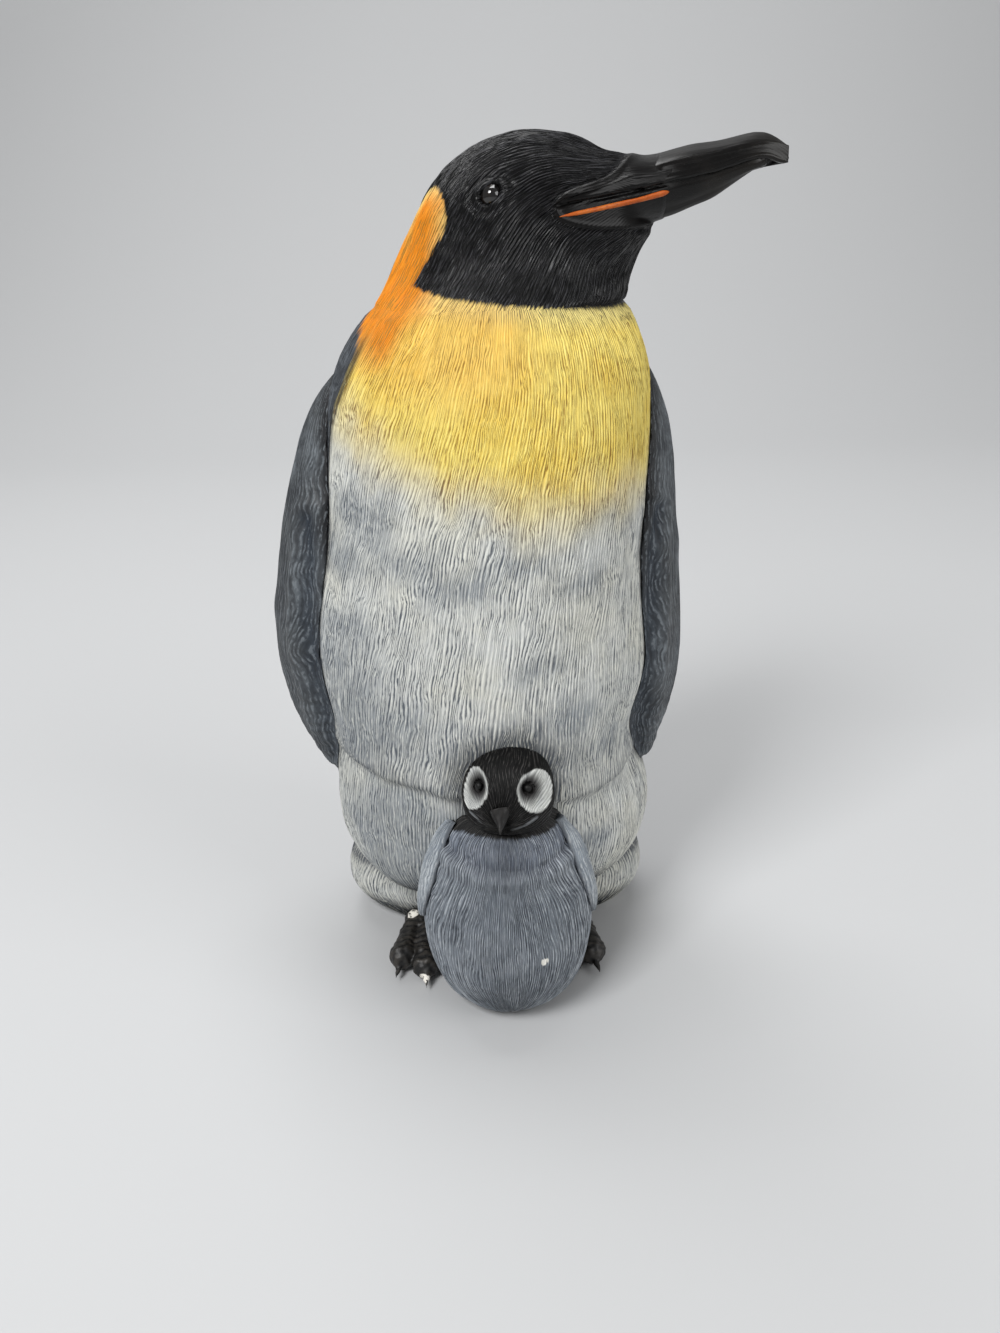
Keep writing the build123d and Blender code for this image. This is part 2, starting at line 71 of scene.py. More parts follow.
# %% [markdown]
# The camera comes first. It stands close in front of the figure, at the height of the head, and looks
# down, so the head is large and the feet are small. It is rolled by under two degrees. The lens is given for
# the long side of the picture, which is upright.

# %% Camera
CAMERA_PLACE = (0.0033, -0.283, 0.2047)
CAMERA_TILT = math.radians(66.6)
CAMERA_ROLL = math.radians(-1.7)
camera = add_object("camera", bpy.data.cameras.new("camera"))
bpy.context.scene.camera = camera
camera.data.lens = 27.82
camera.data.sensor_width = 36
camera.data.clip_start = 0.01
camera.matrix_world = (
    Matrix.Translation(CAMERA_PLACE)
    @ Matrix.Rotation(CAMERA_TILT, 4, "X")
    @ Matrix.Rotation(CAMERA_ROLL, 4, "Z")
)
print("camera at", [round(v, 4) for v in camera.matrix_world.translation])

# %% [markdown]
# A skin has to lie on its solid. Shrinkwrap could do that, but it pulls points to the nearest place and
# bunches them. Here the points are dropped onto the solid along rays instead, ring by ring round a middle
# line. The columns of such a skin run the way the feathers lie, so a stroke pressed along a column
# is a feather stroke. All sums are in millimetres, and only the finished mesh is in metres.

# %% Rays onto a solid
MM = 0.001
RIGHT, BACK, UP = Vector((1, 0, 0)), Vector((0, 1, 0)), Vector((0, 0, 1))


def search_tree(*meshes):
    """Search tree over the faces of meshes, in millimetres."""
    points, faces = [], []
    for mesh in meshes:
        start = len(points)
        points += [v.co / MM for v in mesh.vertices]
        faces += [[start + i for i in p.vertices] for p in mesh.polygons]
    return BVHTree.FromPolygons(points, faces)


def surface_of(*names):
    """Search tree over the named solids."""
    return search_tree(*[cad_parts[name].data for name in names])


def corners_of(name):
    """Points of the named solid, in millimetres."""
    return np.array([v.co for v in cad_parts[name].data.vertices]) / MM


def outer_hit(tree, middle, way, reach=160.0):
    """Place where a ray from outside, going back along way to the middle, first meets the solid."""
    hit = tree.ray_cast(middle + way * reach, -way, reach)[0]
    return middle if hit is None else hit


def span_middle(tree, point, way, reach=160.0):
    """Middle between the two places where a line through a point leaves the solid."""
    return (outer_hit(tree, point, way, 2 * reach) + outer_hit(tree, point, -way, 2 * reach)) / 2


def wrap(tree, middles, across, up, columns, turn=0.0, lift=None):
    """Rings of points on a solid. Each ring looks out from its middle in the plane of across and up."""
    count = len(middles)
    across = [across] * count if isinstance(across, Vector) else across
    up = [up] * count if isinstance(up, Vector) else up
    rings = np.zeros((count, columns, 3))
    turns = np.broadcast_to(turn, rings.shape[:2])
    for i, middle in enumerate(middles):
        rise = Vector((0, 0, 0)) if lift is None else lift[i]
        for j in range(columns):
            angle = 2 * math.pi * j / columns + turns[i, j]
            way = (across[i] * math.cos(angle) + up[i] * math.sin(angle) + rise).normalized()
            rings[i, j] = outer_hit(tree, middle, way)
    return rings


print("one millimetre is", MM, "scene units")

# %% [markdown]
# Rings become a mesh through a grid. The operator gives rows and columns in good order, its points are moved
# onto the rings, and merging by distance then closes the seam and gathers the first and the last row into
# tips. Values per point, such as how far the hood's edge is away, go along as attributes for the paint to
# read. The number of the stroke goes along as a UV map, because that may jump where the columns close.

# %% A closed skin over rings
def skin(name, rings, tips, marks):
    """Closed mesh over rings between two tips, with named values on its points."""
    count, columns = rings.shape[:2]
    bm = bmesh.new()
    bmesh.ops.create_grid(bm, x_segments=columns, y_segments=count + 1, size=1)
    mesh = bpy.data.meshes.new(name)
    bm.to_mesh(mesh)
    bm.free()
    flat = np.empty(len(mesh.vertices) * 3)
    mesh.vertices.foreach_get("co", flat)
    flat = flat.reshape(-1, 3)
    ring = np.rint((1 - flat[:, 1]) / 2 * (count + 1)).astype(int)
    column = np.rint((1 + flat[:, 0]) / 2 * columns).astype(int)

    def lay(grid):
        return np.concatenate((grid[:1], grid, grid[-1:]))[ring, column % columns]

    places = lay(rings)
    places[ring == 0] = tips[0]
    places[ring == count + 1] = tips[1]
    mesh.vertices.foreach_set("co", (places * MM).ravel())
    if "strokes" in marks:
        number = lay(marks["strokes"]) + (column == columns) * marks["count"]
        corner = np.empty(len(mesh.loops), int)
        mesh.loops.foreach_get("vertex_index", corner)
        chart = mesh.uv_layers.new(name="strokes")
        chart.data.foreach_set("uv", np.stack((number, ring), 1)[corner].astype(np.float32).ravel())
    marks = {title: values for title, values in marks.items() if title not in ("strokes", "count")}
    for title, values in marks.items():
        kind, field = ("FLOAT_VECTOR", "vector") if values.ndim == 3 else ("FLOAT", "value")
        layer = mesh.attributes.new(title, kind, "POINT")
        layer.data.foreach_set(field, lay(values).astype(np.float32).ravel())
    bm = bmesh.new()
    bm.from_mesh(mesh)
    bmesh.ops.remove_doubles(bm, verts=bm.verts, dist=1e-7)
    if bm.calc_volume(signed=True) < 0:
        bmesh.ops.reverse_faces(bm, faces=bm.faces)
    for face in bm.faces:
        face.smooth = True
    bm.to_mesh(mesh)
    bm.free()
    piece = add_object(name, mesh)
    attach(piece, "root")
    print(name, "points", len(mesh.vertices), "faces", len(mesh.polygons))
    return piece


def outward(rings):
    """Unit normals of a ring grid."""
    normal = np.cross(np.roll(rings, -1, 1) - np.roll(rings, 1, 1), np.gradient(rings, axis=0))
    normal /= np.linalg.norm(normal, axis=2, keepdims=True) + 1e-9
    away = rings - rings.mean(axis=1, keepdims=True)
    return normal * np.sign((normal * away).sum())


# %% [markdown]
# The sculptor pressed the strokes with a comb or a wire: long thin ridges of uneven length, side by
# side, that waver and fork. A picture could be wrapped round the piece, but here every stroke is a
# random track down the columns, with a fixed seed. Broad lumps come from a second, rounder noise.

# %% Strokes and lumps
def ease(low, high, value):
    """Smooth step from 0 at low to 1 at high."""
    share = np.clip((value - low) / (high - low), 0, 1)
    return share * share * (3 - 2 * share)


def bell(value, width):
    """Bump that is 1 where the value is 0 and almost gone two widths away."""
    return np.exp(-((value / width) ** 2))


def pressed(rings, press):
    """Ring grid moved out along its normals by the given millimetres."""
    return rings + outward(rings) * press[..., None]


def evened(rows):
    """Rows between the first and the last, each averaged with its neighbours."""
    return 0.5 * rows[1:-1] + 0.25 * (rows[:-2] + rows[2:])


def distance(places, point):
    """Distance of each place from a point, in millimetres."""
    return np.linalg.norm(places - np.array(point), axis=-1)


def read_off(value, table):
    """Value of a table of pairs, with straight lines between them."""
    return np.interp(value, *np.array(table, float).T)


def curve(value, table):
    """Value of a table of pairs, with its corners rounded."""
    return sum(read_off(value + step, table) for step in np.linspace(-1.5, 1.5, 7)) / 7


def tracks(row, column, count, seed):
    """Random tracks side by side, count of them round the piece, each with its own start."""
    dice = np.random.default_rng(seed)
    table = dice.random((64, count))
    slip = dice.random(count) * 64
    left = np.floor(column).astype(int)

    def track(index):
        index = index % count
        place = row + slip[index]
        cell = np.floor(place).astype(int)
        mix = ease(0, 1, place - cell)
        return table[cell % 64, index] * (1 - mix) + table[(cell + 1) % 64, index] * mix

    mix = ease(0, 1, column - left)
    return track(left) * (1 - mix) + track(left + 1) * mix


def down(rings):
    """Way down each column of a ring grid, in millimetres."""
    step = np.linalg.norm(np.diff(rings, axis=0), axis=2)
    for _ in range(6):
        step = 0.5 * step + 0.25 * (np.roll(step, 1, 1) + np.roll(step, -1, 1))
    return np.concatenate((np.zeros((1, rings.shape[1])), np.cumsum(step, axis=0)))


def comb(rings, across, cell, seed, wander=1.8):
    """Combed strokes about a cell long: their height from 0 to 1, and the marks that draw them."""
    row = down(rings) / cell
    share = np.arange(rings.shape[1])[None, :] / rings.shape[1] + np.zeros(row.shape)
    few, many = max(across // 7, 3), max(across // 3, 3)
    sway = wander * (tracks(row * 0.5, share * few, few, seed + 1) - 0.5)
    sway += 0.5 * wander * (tracks(row * 1.1, share * many, many, seed + 2) - 0.5)
    number = share * across + sway
    force = 0.35 + 0.65 * tracks(row, share * across, across, seed + 3)
    return 0.5 + 0.5 * np.cos(2 * np.pi * number) * force, {"strokes": number, "count": across}


def lumps(places, size, seed):
    """Round noise in space, about -1 to 1, with lumps of the given size in millimetres."""
    table = np.random.default_rng(seed).random((32, 32, 32)) * 2 - 1
    spot = places / size + 500
    cell = np.floor(spot).astype(int)
    mix = ease(0, 1, spot - cell)
    total = np.zeros(places.shape[:-1])
    for corner in np.ndindex(2, 2, 2):
        weight = np.prod(np.where(corner, mix, 1 - mix), axis=-1)
        index = (cell + corner) % 32
        total += weight * table[index[..., 0], index[..., 1], index[..., 2]]
    return total


def to_line(places, line):
    """Distance of each place from a line of points, in millimetres."""
    best = np.full(places.shape[:-1], 1e9)
    line = np.asarray(line, float)
    for start, end in zip(line[:-1], line[1:]):
        run = end - start
        share = np.clip(((places - start) @ run) / (run @ run), 0, 1)
        best = np.minimum(best, np.linalg.norm(places - start - share[..., None] * run, axis=-1))
    return best


def to_outline(spots, outline):
    """Signed distance of flat spots from a closed outline with rounded corners, positive inside."""
    points = np.asarray(outline, float)
    for _ in range(3):
        after = np.roll(points, -1, 0)
        points = np.stack((0.75 * points + 0.25 * after, 0.25 * points + 0.75 * after), 1).reshape(-1, 2)
    best = to_line(spots, np.vstack((points, points[:1])))
    inside = np.zeros(spots.shape[:-1], bool)
    for start, end in zip(points, np.roll(points, -1, 0)):
        crosses = (start[1] > spots[..., 1]) != (end[1] > spots[..., 1])
        slope = (end[0] - start[0]) / (end[1] - start[1] + 1e-12)
        inside ^= crosses & (spots[..., 0] < start[0] + slope * (spots[..., 1] - start[1]))
    return np.where(inside, best, -best)


def flow_of(rings, stretch=7.0):
    """Place along and across the strokes, for fine noise that runs with them and closes round the piece."""
    girth = np.linalg.norm(np.roll(rings, -1, 1) - rings, axis=2).sum(axis=1).mean()
    angle = 2 * np.pi * np.arange(rings.shape[1]) / rings.shape[1]
    flow = np.zeros(rings.shape)
    flow[..., 0] = girth / (2 * np.pi) * np.cos(angle)
    flow[..., 1] = girth / (2 * np.pi) * np.sin(angle)
    flow[..., 2] = down(rings) / stretch
    return flow


print("strokes, lumps, lines and outlines are ready")

# %% [markdown]
# The adult's paint runs over two castings, so its masks are worked out from the place alone and the same
# for both. The black hood ends in a level edge under the cheeks. Behind the eye a spoon-shaped orange
# patch runs down to the chest. The slate back climbs to the nape in a strip that turns with the head. The
# angle is measured round the neck from the bill's side, and the front of the body is where it wraps.

# %% Paint masks of the adult
HOOD_EDGE = [(-90, 186.0), (-55, 184.6), (-29, 184.2), (0, 184.2), (30, 184.8), (60, 185.6), (90, 187.5),
             (112, 190.5), (135, 191), (180, 191), (205, 191), (215, 190.8), (226, 189.3), (235, 188.4),
             (254, 186.9), (270, 186.0)]
NEAR_PATCH = [(212, 172), (213, 187), (217, 194), (223, 198.2), (230, 202.4), (230.5, 206), (225, 209.5),
              (211, 212.4), (196, 213), (184, 210), (179, 204), (178, 196), (180, 187), (184, 172)]
MIRRORED_SUM = 332
FAR_PATCH = [(MIRRORED_SUM - angle, height) for angle, height in NEAR_PATCH]
BACK_EDGE_NEAR = [(1, 183), (45, 187), (60, 190), (120, 190), (142, 193), (156, 198), (169, 204), (176, 203),
                  (180, 195), (185, 182), (190, 178), (215, 178)]
BACK_EDGE_FAR = [(1, 0), (45, -6), (60, -10), (120, -12), (150, -8), (168, -2), (174, 20), (179, 70),
                 (184, 120), (190, 154), (215, 154)]
GOLD_EDGE = [(-45, 163), (-32, 158), (-19, 151), (-7, 145), (9, 141), (29, 141), (41, 141)]
CHEEK_LINE = [(-12, -8, 204), (-15.5, -13, 192), (-19, -17, 186), (-23, -19, 180)]
CHEST_GLOW = [(-14, -25, 180), (-2, -29, 177)]
NECK_MIDDLE = (7, 2)
NECK_RADIUS = 24.0


def adult_masks(places):
    """Signed distances and shares of the adult's paint at each place."""
    x, y, z = np.moveaxis(places, -1, 0)
    angle = np.degrees(np.arctan2(y - NECK_MIDDLE[1], x - NECK_MIDDLE[0]))
    angle = np.where(angle < -90, angle + 360, angle)
    arc = math.radians(1) * NECK_RADIUS
    spots = np.stack((angle * arc, z), -1)
    patch = np.full(x.shape, -30.0)
    for outline in (NEAR_PATCH, FAR_PATCH):
        patch = np.maximum(patch, to_outline(spots, [(a * arc, h) for a, h in outline]))
    hood = np.minimum(z - read_off(angle, HOOD_EDGE), -patch)
    near = read_off(z, BACK_EDGE_NEAR) - angle
    far = angle - read_off(z, BACK_EDGE_FAR)
    back = np.minimum(near, far) * arc + 2.5 * lumps(places, 13, 8) * ease(150, 60, z)
    drift = 3 * lumps(places, 11, 5) + 2 * lumps(places, 4, 6)
    gold = ease(-13, 12, z + drift - read_off(x, GOLD_EDGE))
    warm = to_line(places, CHEEK_LINE) + 2.5 * lumps(places, 6, 7)
    glow = to_line(places, CHEST_GLOW)
    orange = np.maximum(1 - ease(2, 14, warm), 0.3 * (1 - ease(6, 24, glow)))
    spoon = ease(-2, 3, patch) * (0.5 + 0.5 * ease(209, 196, z)) * ease(168, 182, z)
    return {"hood": hood, "back": back, "gold": gold, "orange": np.maximum(orange, spoon)}


print("hood edge from", min(h for _, h in HOOD_EDGE), "to", max(h for _, h in HOOD_EDGE), "mm up")

# %% [markdown]
# The body is one hollow casting. Its skin has a ring for about every two millimetres of the belly's profile,
# closer at the folds, and closes inside the neck and on the ground. The strokes slant on the side that the
# head turns away from and stand upright on the other, so the columns are turned a little as they climb.

# %% Body skin
body_tree = surface_of("torso")
BODY_COLUMNS = 1020
BODY_RINGS = 88
NECK_LEAN = 5.75
low, high = (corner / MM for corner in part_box("torso"))
levels = np.linspace(low.z + 0.05, high.z - 0.05, 700)
profile = np.array([outer_hit(body_tree, Vector((0, 0, z)), -BACK).y for z in levels])
belly_fold = ease(48, 54, levels) * ease(76, 70, levels)
hip_fold = ease(14, 17, levels) * ease(36, 30, levels)
busy = 1 + 0.9 * (belly_fold + hip_fold)
length = np.concatenate(([0], np.cumsum(busy[1:] * np.hypot(np.diff(levels), 0.6 * np.diff(profile)))))
body_levels = np.interp(np.linspace(length[-1], 0, BODY_RINGS), length, levels)
middles = [Vector((NECK_LEAN * float(ease(120, 185, z)), 0, z)) for z in body_levels]
column_angle = 2 * np.pi * np.arange(BODY_COLUMNS) / BODY_COLUMNS
slant = 0.10 + 0.16 * (1 - np.cos(column_angle)) / 2
climb = ease(30, 190, body_levels) - 0.5
body = wrap(body_tree, middles, RIGHT, BACK, BODY_COLUMNS, turn=2 * climb[:, None] * slant[None, :])
print("body rings", body.shape, "from", round(body_levels[-1], 2), "to", round(body_levels[0], 2), "mm")

# %% [markdown]
# On the real belly a loose fold of skin hangs over the chick: two creases run from the sides to
# the chick's head, and the skin stands up in a lip round the head. Under the fold the hips show. All
# of this is pressed into the skin with smooth falloffs from a few lines, the way a sculptor pulls a tool.

# %% Body folds and strokes
FOLD_NEAR = [(-45, -6, 68.5), (-43, -14, 67), (-40.1, -23.7, 66.1), (-33.5, -32.5, 66.3),
             (-27.9, -37.4, 65.4), (-21.9, -41, 64.8), (-16.9, -43.3, 64.6), (-11.5, -44.8, 64)]
FOLD_FAR = [(46, -4, 66), (43, -12, 61), (36.8, -24.5, 58), (30.3, -32.3, 57.6), (25.4, -36.4, 57.8),
            (20, -39.5, 59.5)]


def gap_to(tree, places, near):
    """Distance of each place to a solid, worked out only where the place may be near it."""
    gap = np.full(places.shape[:-1], 99.0)
    gap[near] = [tree.find_nearest(Vector(p))[3] for p in places[near]]
    return gap


x, y, z = np.moveaxis(body, -1, 0)
by_flippers = (np.abs(x) > 29) & (z > 42) & (z < 180)
by_chick = (y < -30) & (z > 52) & (z < 98) & (np.abs(x - 4) < 30)
flipper_gap = gap_to(surface_of("right_flipper", "left_flipper"), body, by_flippers)
chick_gap = gap_to(surface_of("chick_head"), body, by_chick)
fold = np.minimum(to_line(body, FOLD_NEAR), to_line(body, FOLD_FAR))
fold_z = read_off(x, [(a, c) for a, _, c in FOLD_NEAR + FOLD_FAR[::-1]])
fold = np.where(z > fold_z, fold, -fold)
body_height, stroke_marks = comb(body, across=285, cell=4.6, seed=11)
press = 0.42 * (body_height - 0.5)
press += np.tanh(fold / 0.9) * np.where(fold > 0, 0.9 * bell(fold, 6.5), 1.1 * bell(fold, 6.0))
press += 0.9 * bell(chick_gap - 5.5, 2.6) - 0.6 * bell(chick_gap, 1.8)
press += 0.55 * lumps(body, 17, 21) + 0.25 * lumps(body, 7, 22)
press *= ease(0.0, 1.0, 185 - z) * ease(0.0, 3.0, z - 1) * ease(0.2, 2.5, flipper_gap + 0.6 * (y < 0))
body_marks = adult_masks(body)
body_skin = pressed(body, press)
print("pressed from", round(press.min(), 2), "to", round(press.max(), 2), "mm")

# %% Body shade and mesh
SHADE_SPOT = (13, -43.8, 84)
SHOULDER_NEAR = [(-29.3, -14.5, 177), (-33.5, -16.5, 169), (-39, -12.4, 156), (-43.6, -8.4, 142)]
SHOULDER_FAR = [(45.3, 1.4, 167), (45.8, -5.3, 152), (46.6, -8.2, 139)]
# Blue-grey patches on the belly: partly the paint's own blue-grey, and the large ones low on the left are
# painted shade.
COOL_AND_SHADE_SPOTS = [(-33, 138, 8), (-20, 127, 9), (-6, 121, 7), (10, 128, 5), (24, 120, 6), (-36, 108, 9),
              (-26, 84, 11), (24, 84, 7), (30, 72, 8), (-38, 76, 14), (-34, 50, 15), (-22, 40, 13),
              (-28, 28, 12), (-20, 58, 10), (28, 42, 6), (16, 100, 5), (-42, 94, 11), (-40, 124, 8)]
shade = 0.32 * bell(fold + 0.3, 1.5) + 0.45 * bell(fold, 7.0) * ease(-0.6, 0.8, fold)
shade = np.maximum(shade, bell(chick_gap, 2.8))
shade = np.maximum(shade, 0.75 * bell(chick_gap, 8.0) * ease(54, 68, z))
shade = np.maximum(shade, 0.85 * bell(distance(body, SHADE_SPOT), 2.6))
hip_gap = z - 21 - 0.12 * np.abs(y)
hip_line = bell(hip_gap, 1.3) + 0.55 * bell(hip_gap, 4.5)
shade = np.maximum(shade, np.minimum(hip_line, 1) * ease(14, 8, y))
line = bell(flipper_gap, np.where(z > 120, 3.2, 1.6)) * np.where(z > 120, 1.0, 0.75)
shoulder = np.minimum(to_line(body, SHOULDER_NEAR), to_line(body, SHOULDER_FAR))
line = np.maximum(line, bell(shoulder, 1.9))
ankle = ease(11.5, 6.5, z + 0.006 * (y + 20) ** 2) * ease(-4, -12, y)
cool_and_shade = sum(bell(x - a, 1.3 * r) * bell(z - b, 0.7 * r) for a, b, r in COOL_AND_SHADE_SPOTS)
cool_and_shade = ease(0.0, 1.2, cool_and_shade + 0.35 * lumps(body, 9, 31) + 0.2 * lumps(body, 4, 32))
body_marks |= stroke_marks | {"shade": shade, "line": line, "ankle": ankle, "cool_and_shade": cool_and_shade}
body_marks["flow"] = flow_of(body)


def run_on(ring, before, far):
    """Three rings that carry a skin on past its end, just under its neighbour, and then turn inside."""
    way = ring - before
    way /= np.linalg.norm(way, axis=1, keepdims=True)
    middle = ring.mean(axis=0)
    first = ring + way * far + (middle - ring) * 0.006
    second = first + way * far + (middle - ring) * 0.03
    return [first, second, middle + (second - middle) * (0.4, 0.4, 1)]


def pad(marks, before, after):
    """Values of a skin's first and last rings, repeated on the rings that are added there."""
    return {title: values if title == "count" else
            np.concatenate((np.repeat(values[:1], before, 0), values, np.repeat(values[-1:], after, 0)))
            for title, values in marks.items()}


top_rings = run_on(body_skin[0], body_skin[1], 1.4)[::-1]
base_rings = [body_skin[-1] * (s, s, 0) + (0, 0, 1.0) for s in (1.0, 0.6, 0.25)]
whole = np.concatenate((top_rings, body_skin, base_rings))
body_piece = skin("body_casting", whole, (top_rings[0].mean(0), (0, 0, 1)), pad(body_marks, 3, 3))
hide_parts("torso")

# %% [markdown]
# The head's feathers sweep back from the bill and down the neck. A ring round an upright axis would
# cross them, so the head's rings fan out from a hinge line under the throat: the first ring circles the
# root of the bill and the last one is the neck seam. The columns between them lie like the feathers.

# %% Head skin
head_tree = surface_of("head", "upper_bill", "lower_bill")
HEAD_COLUMNS = 620
HEAD_RINGS = 150
HINGE = Vector((46.0, 2.0, 185.0))
FIRST_TILT, LAST_TILT = 85, 179.7
middles, ups = [], []
shares = np.linspace(0, 1, HEAD_RINGS)
for share in shares:
    angle = math.radians(FIRST_TILT + (LAST_TILT - FIRST_TILT) * share)
    up = Vector((math.cos(angle), 0, math.sin(angle)))
    far_side = outer_hit(head_tree, HINGE, up)
    near_hit = head_tree.ray_cast(HINGE, up, 160)[0]
    middles.append((far_side + (near_hit or far_side)) / 2)
    ups.append(up)
head = wrap(head_tree, middles, ups, BACK, HEAD_COLUMNS)
front = ease(0.34, 0.14, shares)[:, None, None]
for turn in range(40):
    calm = head.copy()
    calm[1:-1] = evened(head)
    if turn % 8 == 7:
        calm = 0.5 * calm + 0.25 * (np.roll(calm, 1, 1) + np.roll(calm, -1, 1))
    head += (calm - head) * (1.0 if turn < 6 else front)
print("head rings", head.shape, "from", head.min((0, 1)).round(1), "to", head.max((0, 1)).round(1))

# %% Head lids, gape and strokes
SHEATH = [(18.4, 206.9), (20.4, 209.9), (25.6, 211.9), (33.2, 215.2), (41.5, 220), (44, 224), (60, 224),
          (60, 205.5), (52, 204.4), (46.9, 203.4), (39.7, 202.0), (30, 201.8), (20.4, 203.4)]
GAPE = [(18.9, 207.4), (24, 208.2), (31.2, 209.0), (45.5, 211.4), (52, 212.8)]
SHELF = [(22, 209.3), (31, 211.2), (40, 213.5), (47, 215.2), (52, 216.4)]
eyes = [sum(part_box(name), Vector()) / 2 / MM for name in ("right_eye", "left_eye")]


def lid_gap(places, eye):
    """Distance from an eye's middle, squeezed along a slant so that equal distances make an almond."""
    dx, dy, dz = np.moveaxis(places - np.array(eye), -1, 0)
    return np.sqrt(((0.96 * dx + 0.28 * dz) / 1.25) ** 2 + (0.96 * dz - 0.28 * dx) ** 2 + dy ** 2)


x, y, z = np.moveaxis(head, -1, 0)
side_view = head[..., [0, 2]]
eye_gap = np.minimum(*[lid_gap(head, eye) for eye in eyes])
brow = ease(-1.5, 2.0, z - eyes[0].z)
sheath = to_outline(side_view, SHEATH)
gape = to_line(side_view, GAPE)
shelf = to_line(side_view, SHELF)
head_height, stroke_marks = comb(head, across=180, cell=6.0, seed=41, wander=1.3)
smooth = ease(-0.3, 0.5, sheath)
head_marks = adult_masks(head)
press = 0.55 * (head_height - 0.5) * (1 - 0.95 * smooth) * ease(2.4, 4.0, eye_gap)
press += (0.5 + 0.35 * brow) * bell(eye_gap - 3.1, 0.55) - 0.4 * bell(eye_gap - 4.3, 0.5)
press += (0.15 + 0.3 * lumps(head, 1.7, 44)) * bell(eye_gap - 5.2, 1.3)
cheek_side = ease(47.0, 41.0, x)
press += smooth * cheek_side * (0.12 + 0.38 * ease(207, 210, z))
press += 0.45 * cheek_side * (0.3 + 0.7 * ease(203, 206, z)) * bell(sheath - 0.7, 0.6)
press -= 0.4 * bell(sheath + 0.5, 0.45)
press += (0.35 * bell(shelf, 0.55) - 0.95 * bell(gape, 0.5)) * smooth
press += 0.2 * ease(0, 1.5, head_marks["hood"])
press += 0.3 * lumps(head, 9, 42) + 0.16 * lumps(head, 3.5, 43) * (1 - smooth)
press *= ease(0, 1.0, z - 185)
press -= 0.4 * ease(46.6, 48.4, x)
head_skin = pressed(head, press)

# %% [markdown]
# Seen from the side, the crown falls onto the bill in one line, the mouth line rises and then dips at the
# tip, the bill's underside climbs to the tip, and the throat swings forward under the chin. Four short tables
# bend the skins of head and bill to that: millimetres up, or forward for the throat, by place along the line.

# %% Side lines and head mesh
BROW = [(15, 0), (19.5, -0.6), (23, -1.25), (25.4, -1.9), (27.2, -2.0), (31.5, -1.8), (34.4, -0.7),
        (37.4, 0.4), (39.5, -0.2), (42, -1.2), (46, -1.2), (50, -0.7), (55, -0.2), (61, -0.7), (70, -0.6),
        (73, -0.9), (76, -1.7), (78.5, -1.8)]
MOUTH = [(60, 0), (66.6, 0.7), (70.8, 0.9), (73.5, 0.3), (76, -1.2), (77.2, -1.6), (78.5, -1.6)]
KEEL = [(57, 0), (60, -0.3), (64, 0.1), (68.3, 0.75), (72.3, 1.5), (78.3, 1.8)]
THROAT = [(183, 0), (185, -0.8), (187, -1.7), (188.7, -2.0), (190.5, -1.3), (192.5, -0.1), (194, 0.8),
          (197.5, 2.0), (201, 3.0), (203, 2.3), (204.5, 0.4), (206, 0)]
top = ease(210, 217, z)
head_skin[..., 2] += curve(x, BROW) * top
head_skin[..., 0] += read_off(z, THROAT) * ease(24, 38, x) * ease(54, 50, x) * bell(y - 2, 13)
soft = np.maximum(top * ease(10, 16, x), ease(204, 201, z) * ease(24, 36, x)) * ease(45, 42, x)
for _ in range(10):
    head_skin[1:-1] += (evened(head_skin) - head_skin[1:-1]) * soft[1:-1, :, None]
head_marks |= stroke_marks | {"gloss": smooth, "flow": flow_of(head)}
end_rings = run_on(head_skin[-1], head_skin[-2], 1.4)
head_piece = skin("head_casting", np.concatenate((head_skin, end_rings)),
                  (head_skin[0].mean(axis=0), end_rings[-1].mean(0)), pad(head_marks, 0, 3))
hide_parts("head")

# %% [markdown]
# The bill is two long half ovals with a mouth line between them. Each half gets rings from the cheek to the
# tip. The upper one has a hollow along its side and a rolled rim over the mouth, and its tip bends down. It
# is the glossiest part, so these forms have to be real: only a true rim gives the long clean highlights.

# %% Bill halves
BILL_RINGS = 190
BILL_COLUMNS = 120


def bill_rings(node):
    """Upright rings along one half of the bill, with the shares of the way to the tip and up the side."""
    tree = surface_of(node)
    start, end = (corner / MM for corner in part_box(node))
    shares = np.linspace(0, 1, BILL_RINGS)
    places = []
    for x in start.x + 0.2 + (end.x - start.x - 0.4) * shares:
        places.append(span_middle(tree, Vector((x, 2, (start.z + end.z) / 2)), UP))
    rings = wrap(tree, places, BACK, UP, BILL_COLUMNS)
    z = rings[..., 2]
    floor_z, roof_z = z.min(1, keepdims=True), z.max(1, keepdims=True)
    return rings, shares[:, None] + np.zeros(z.shape), (z - floor_z) / (roof_z - floor_z)


def bill_piece(name, node, rings, press, shift, marks):
    """Bill half with its forms pressed in and shifted, sunk a little under the cheeks."""
    bare = ease(43.5, 46.5, rings[..., 0])
    done = rings + outward(rings) * (press * bare - 0.5 * (1 - bare))[..., None]
    done[..., 2] += shift
    marks["flow"] = flow_of(rings)
    piece = skin(name, done, (done[0].mean(0), done[-1].mean(0)), marks)
    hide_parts(node)
    return piece


upper, along, rise = bill_rings("upper_bill")
off_middle = np.abs(upper[..., 1] - 2)
side_on = ease(0.15, 0.5, off_middle / off_middle.max(1, keepdims=True))
ridge = bell(rise - 0.50 + 0.1 * along, 0.10) * side_on * ease(0.99, 0.85, along)
groove = bell(rise - 0.70 + 0.1 * along, 0.08) * side_on * ease(0.9, 0.6, along)
hollow = bell(rise - 0.26, 0.10) * side_on * ease(0.95, 0.7, along)
nail = bell(along - 0.875, 0.012) * ease(0.35, 0.6, rise)
rim = bell(rise - 0.10, 0.07) * side_on * ease(1.0, 0.95, along)
press = 0.06 * ridge - 0.06 * groove - 0.25 * hollow - 0.04 * nail + 0.32 * rim + 0.12 * lumps(upper, 5, 61)
x = upper[..., 0]
shift = curve(x, BROW) * ease(0.4, 1.0, rise) + (curve(x, MOUTH) - 0.55) * ease(0.6, 0.0, rise)
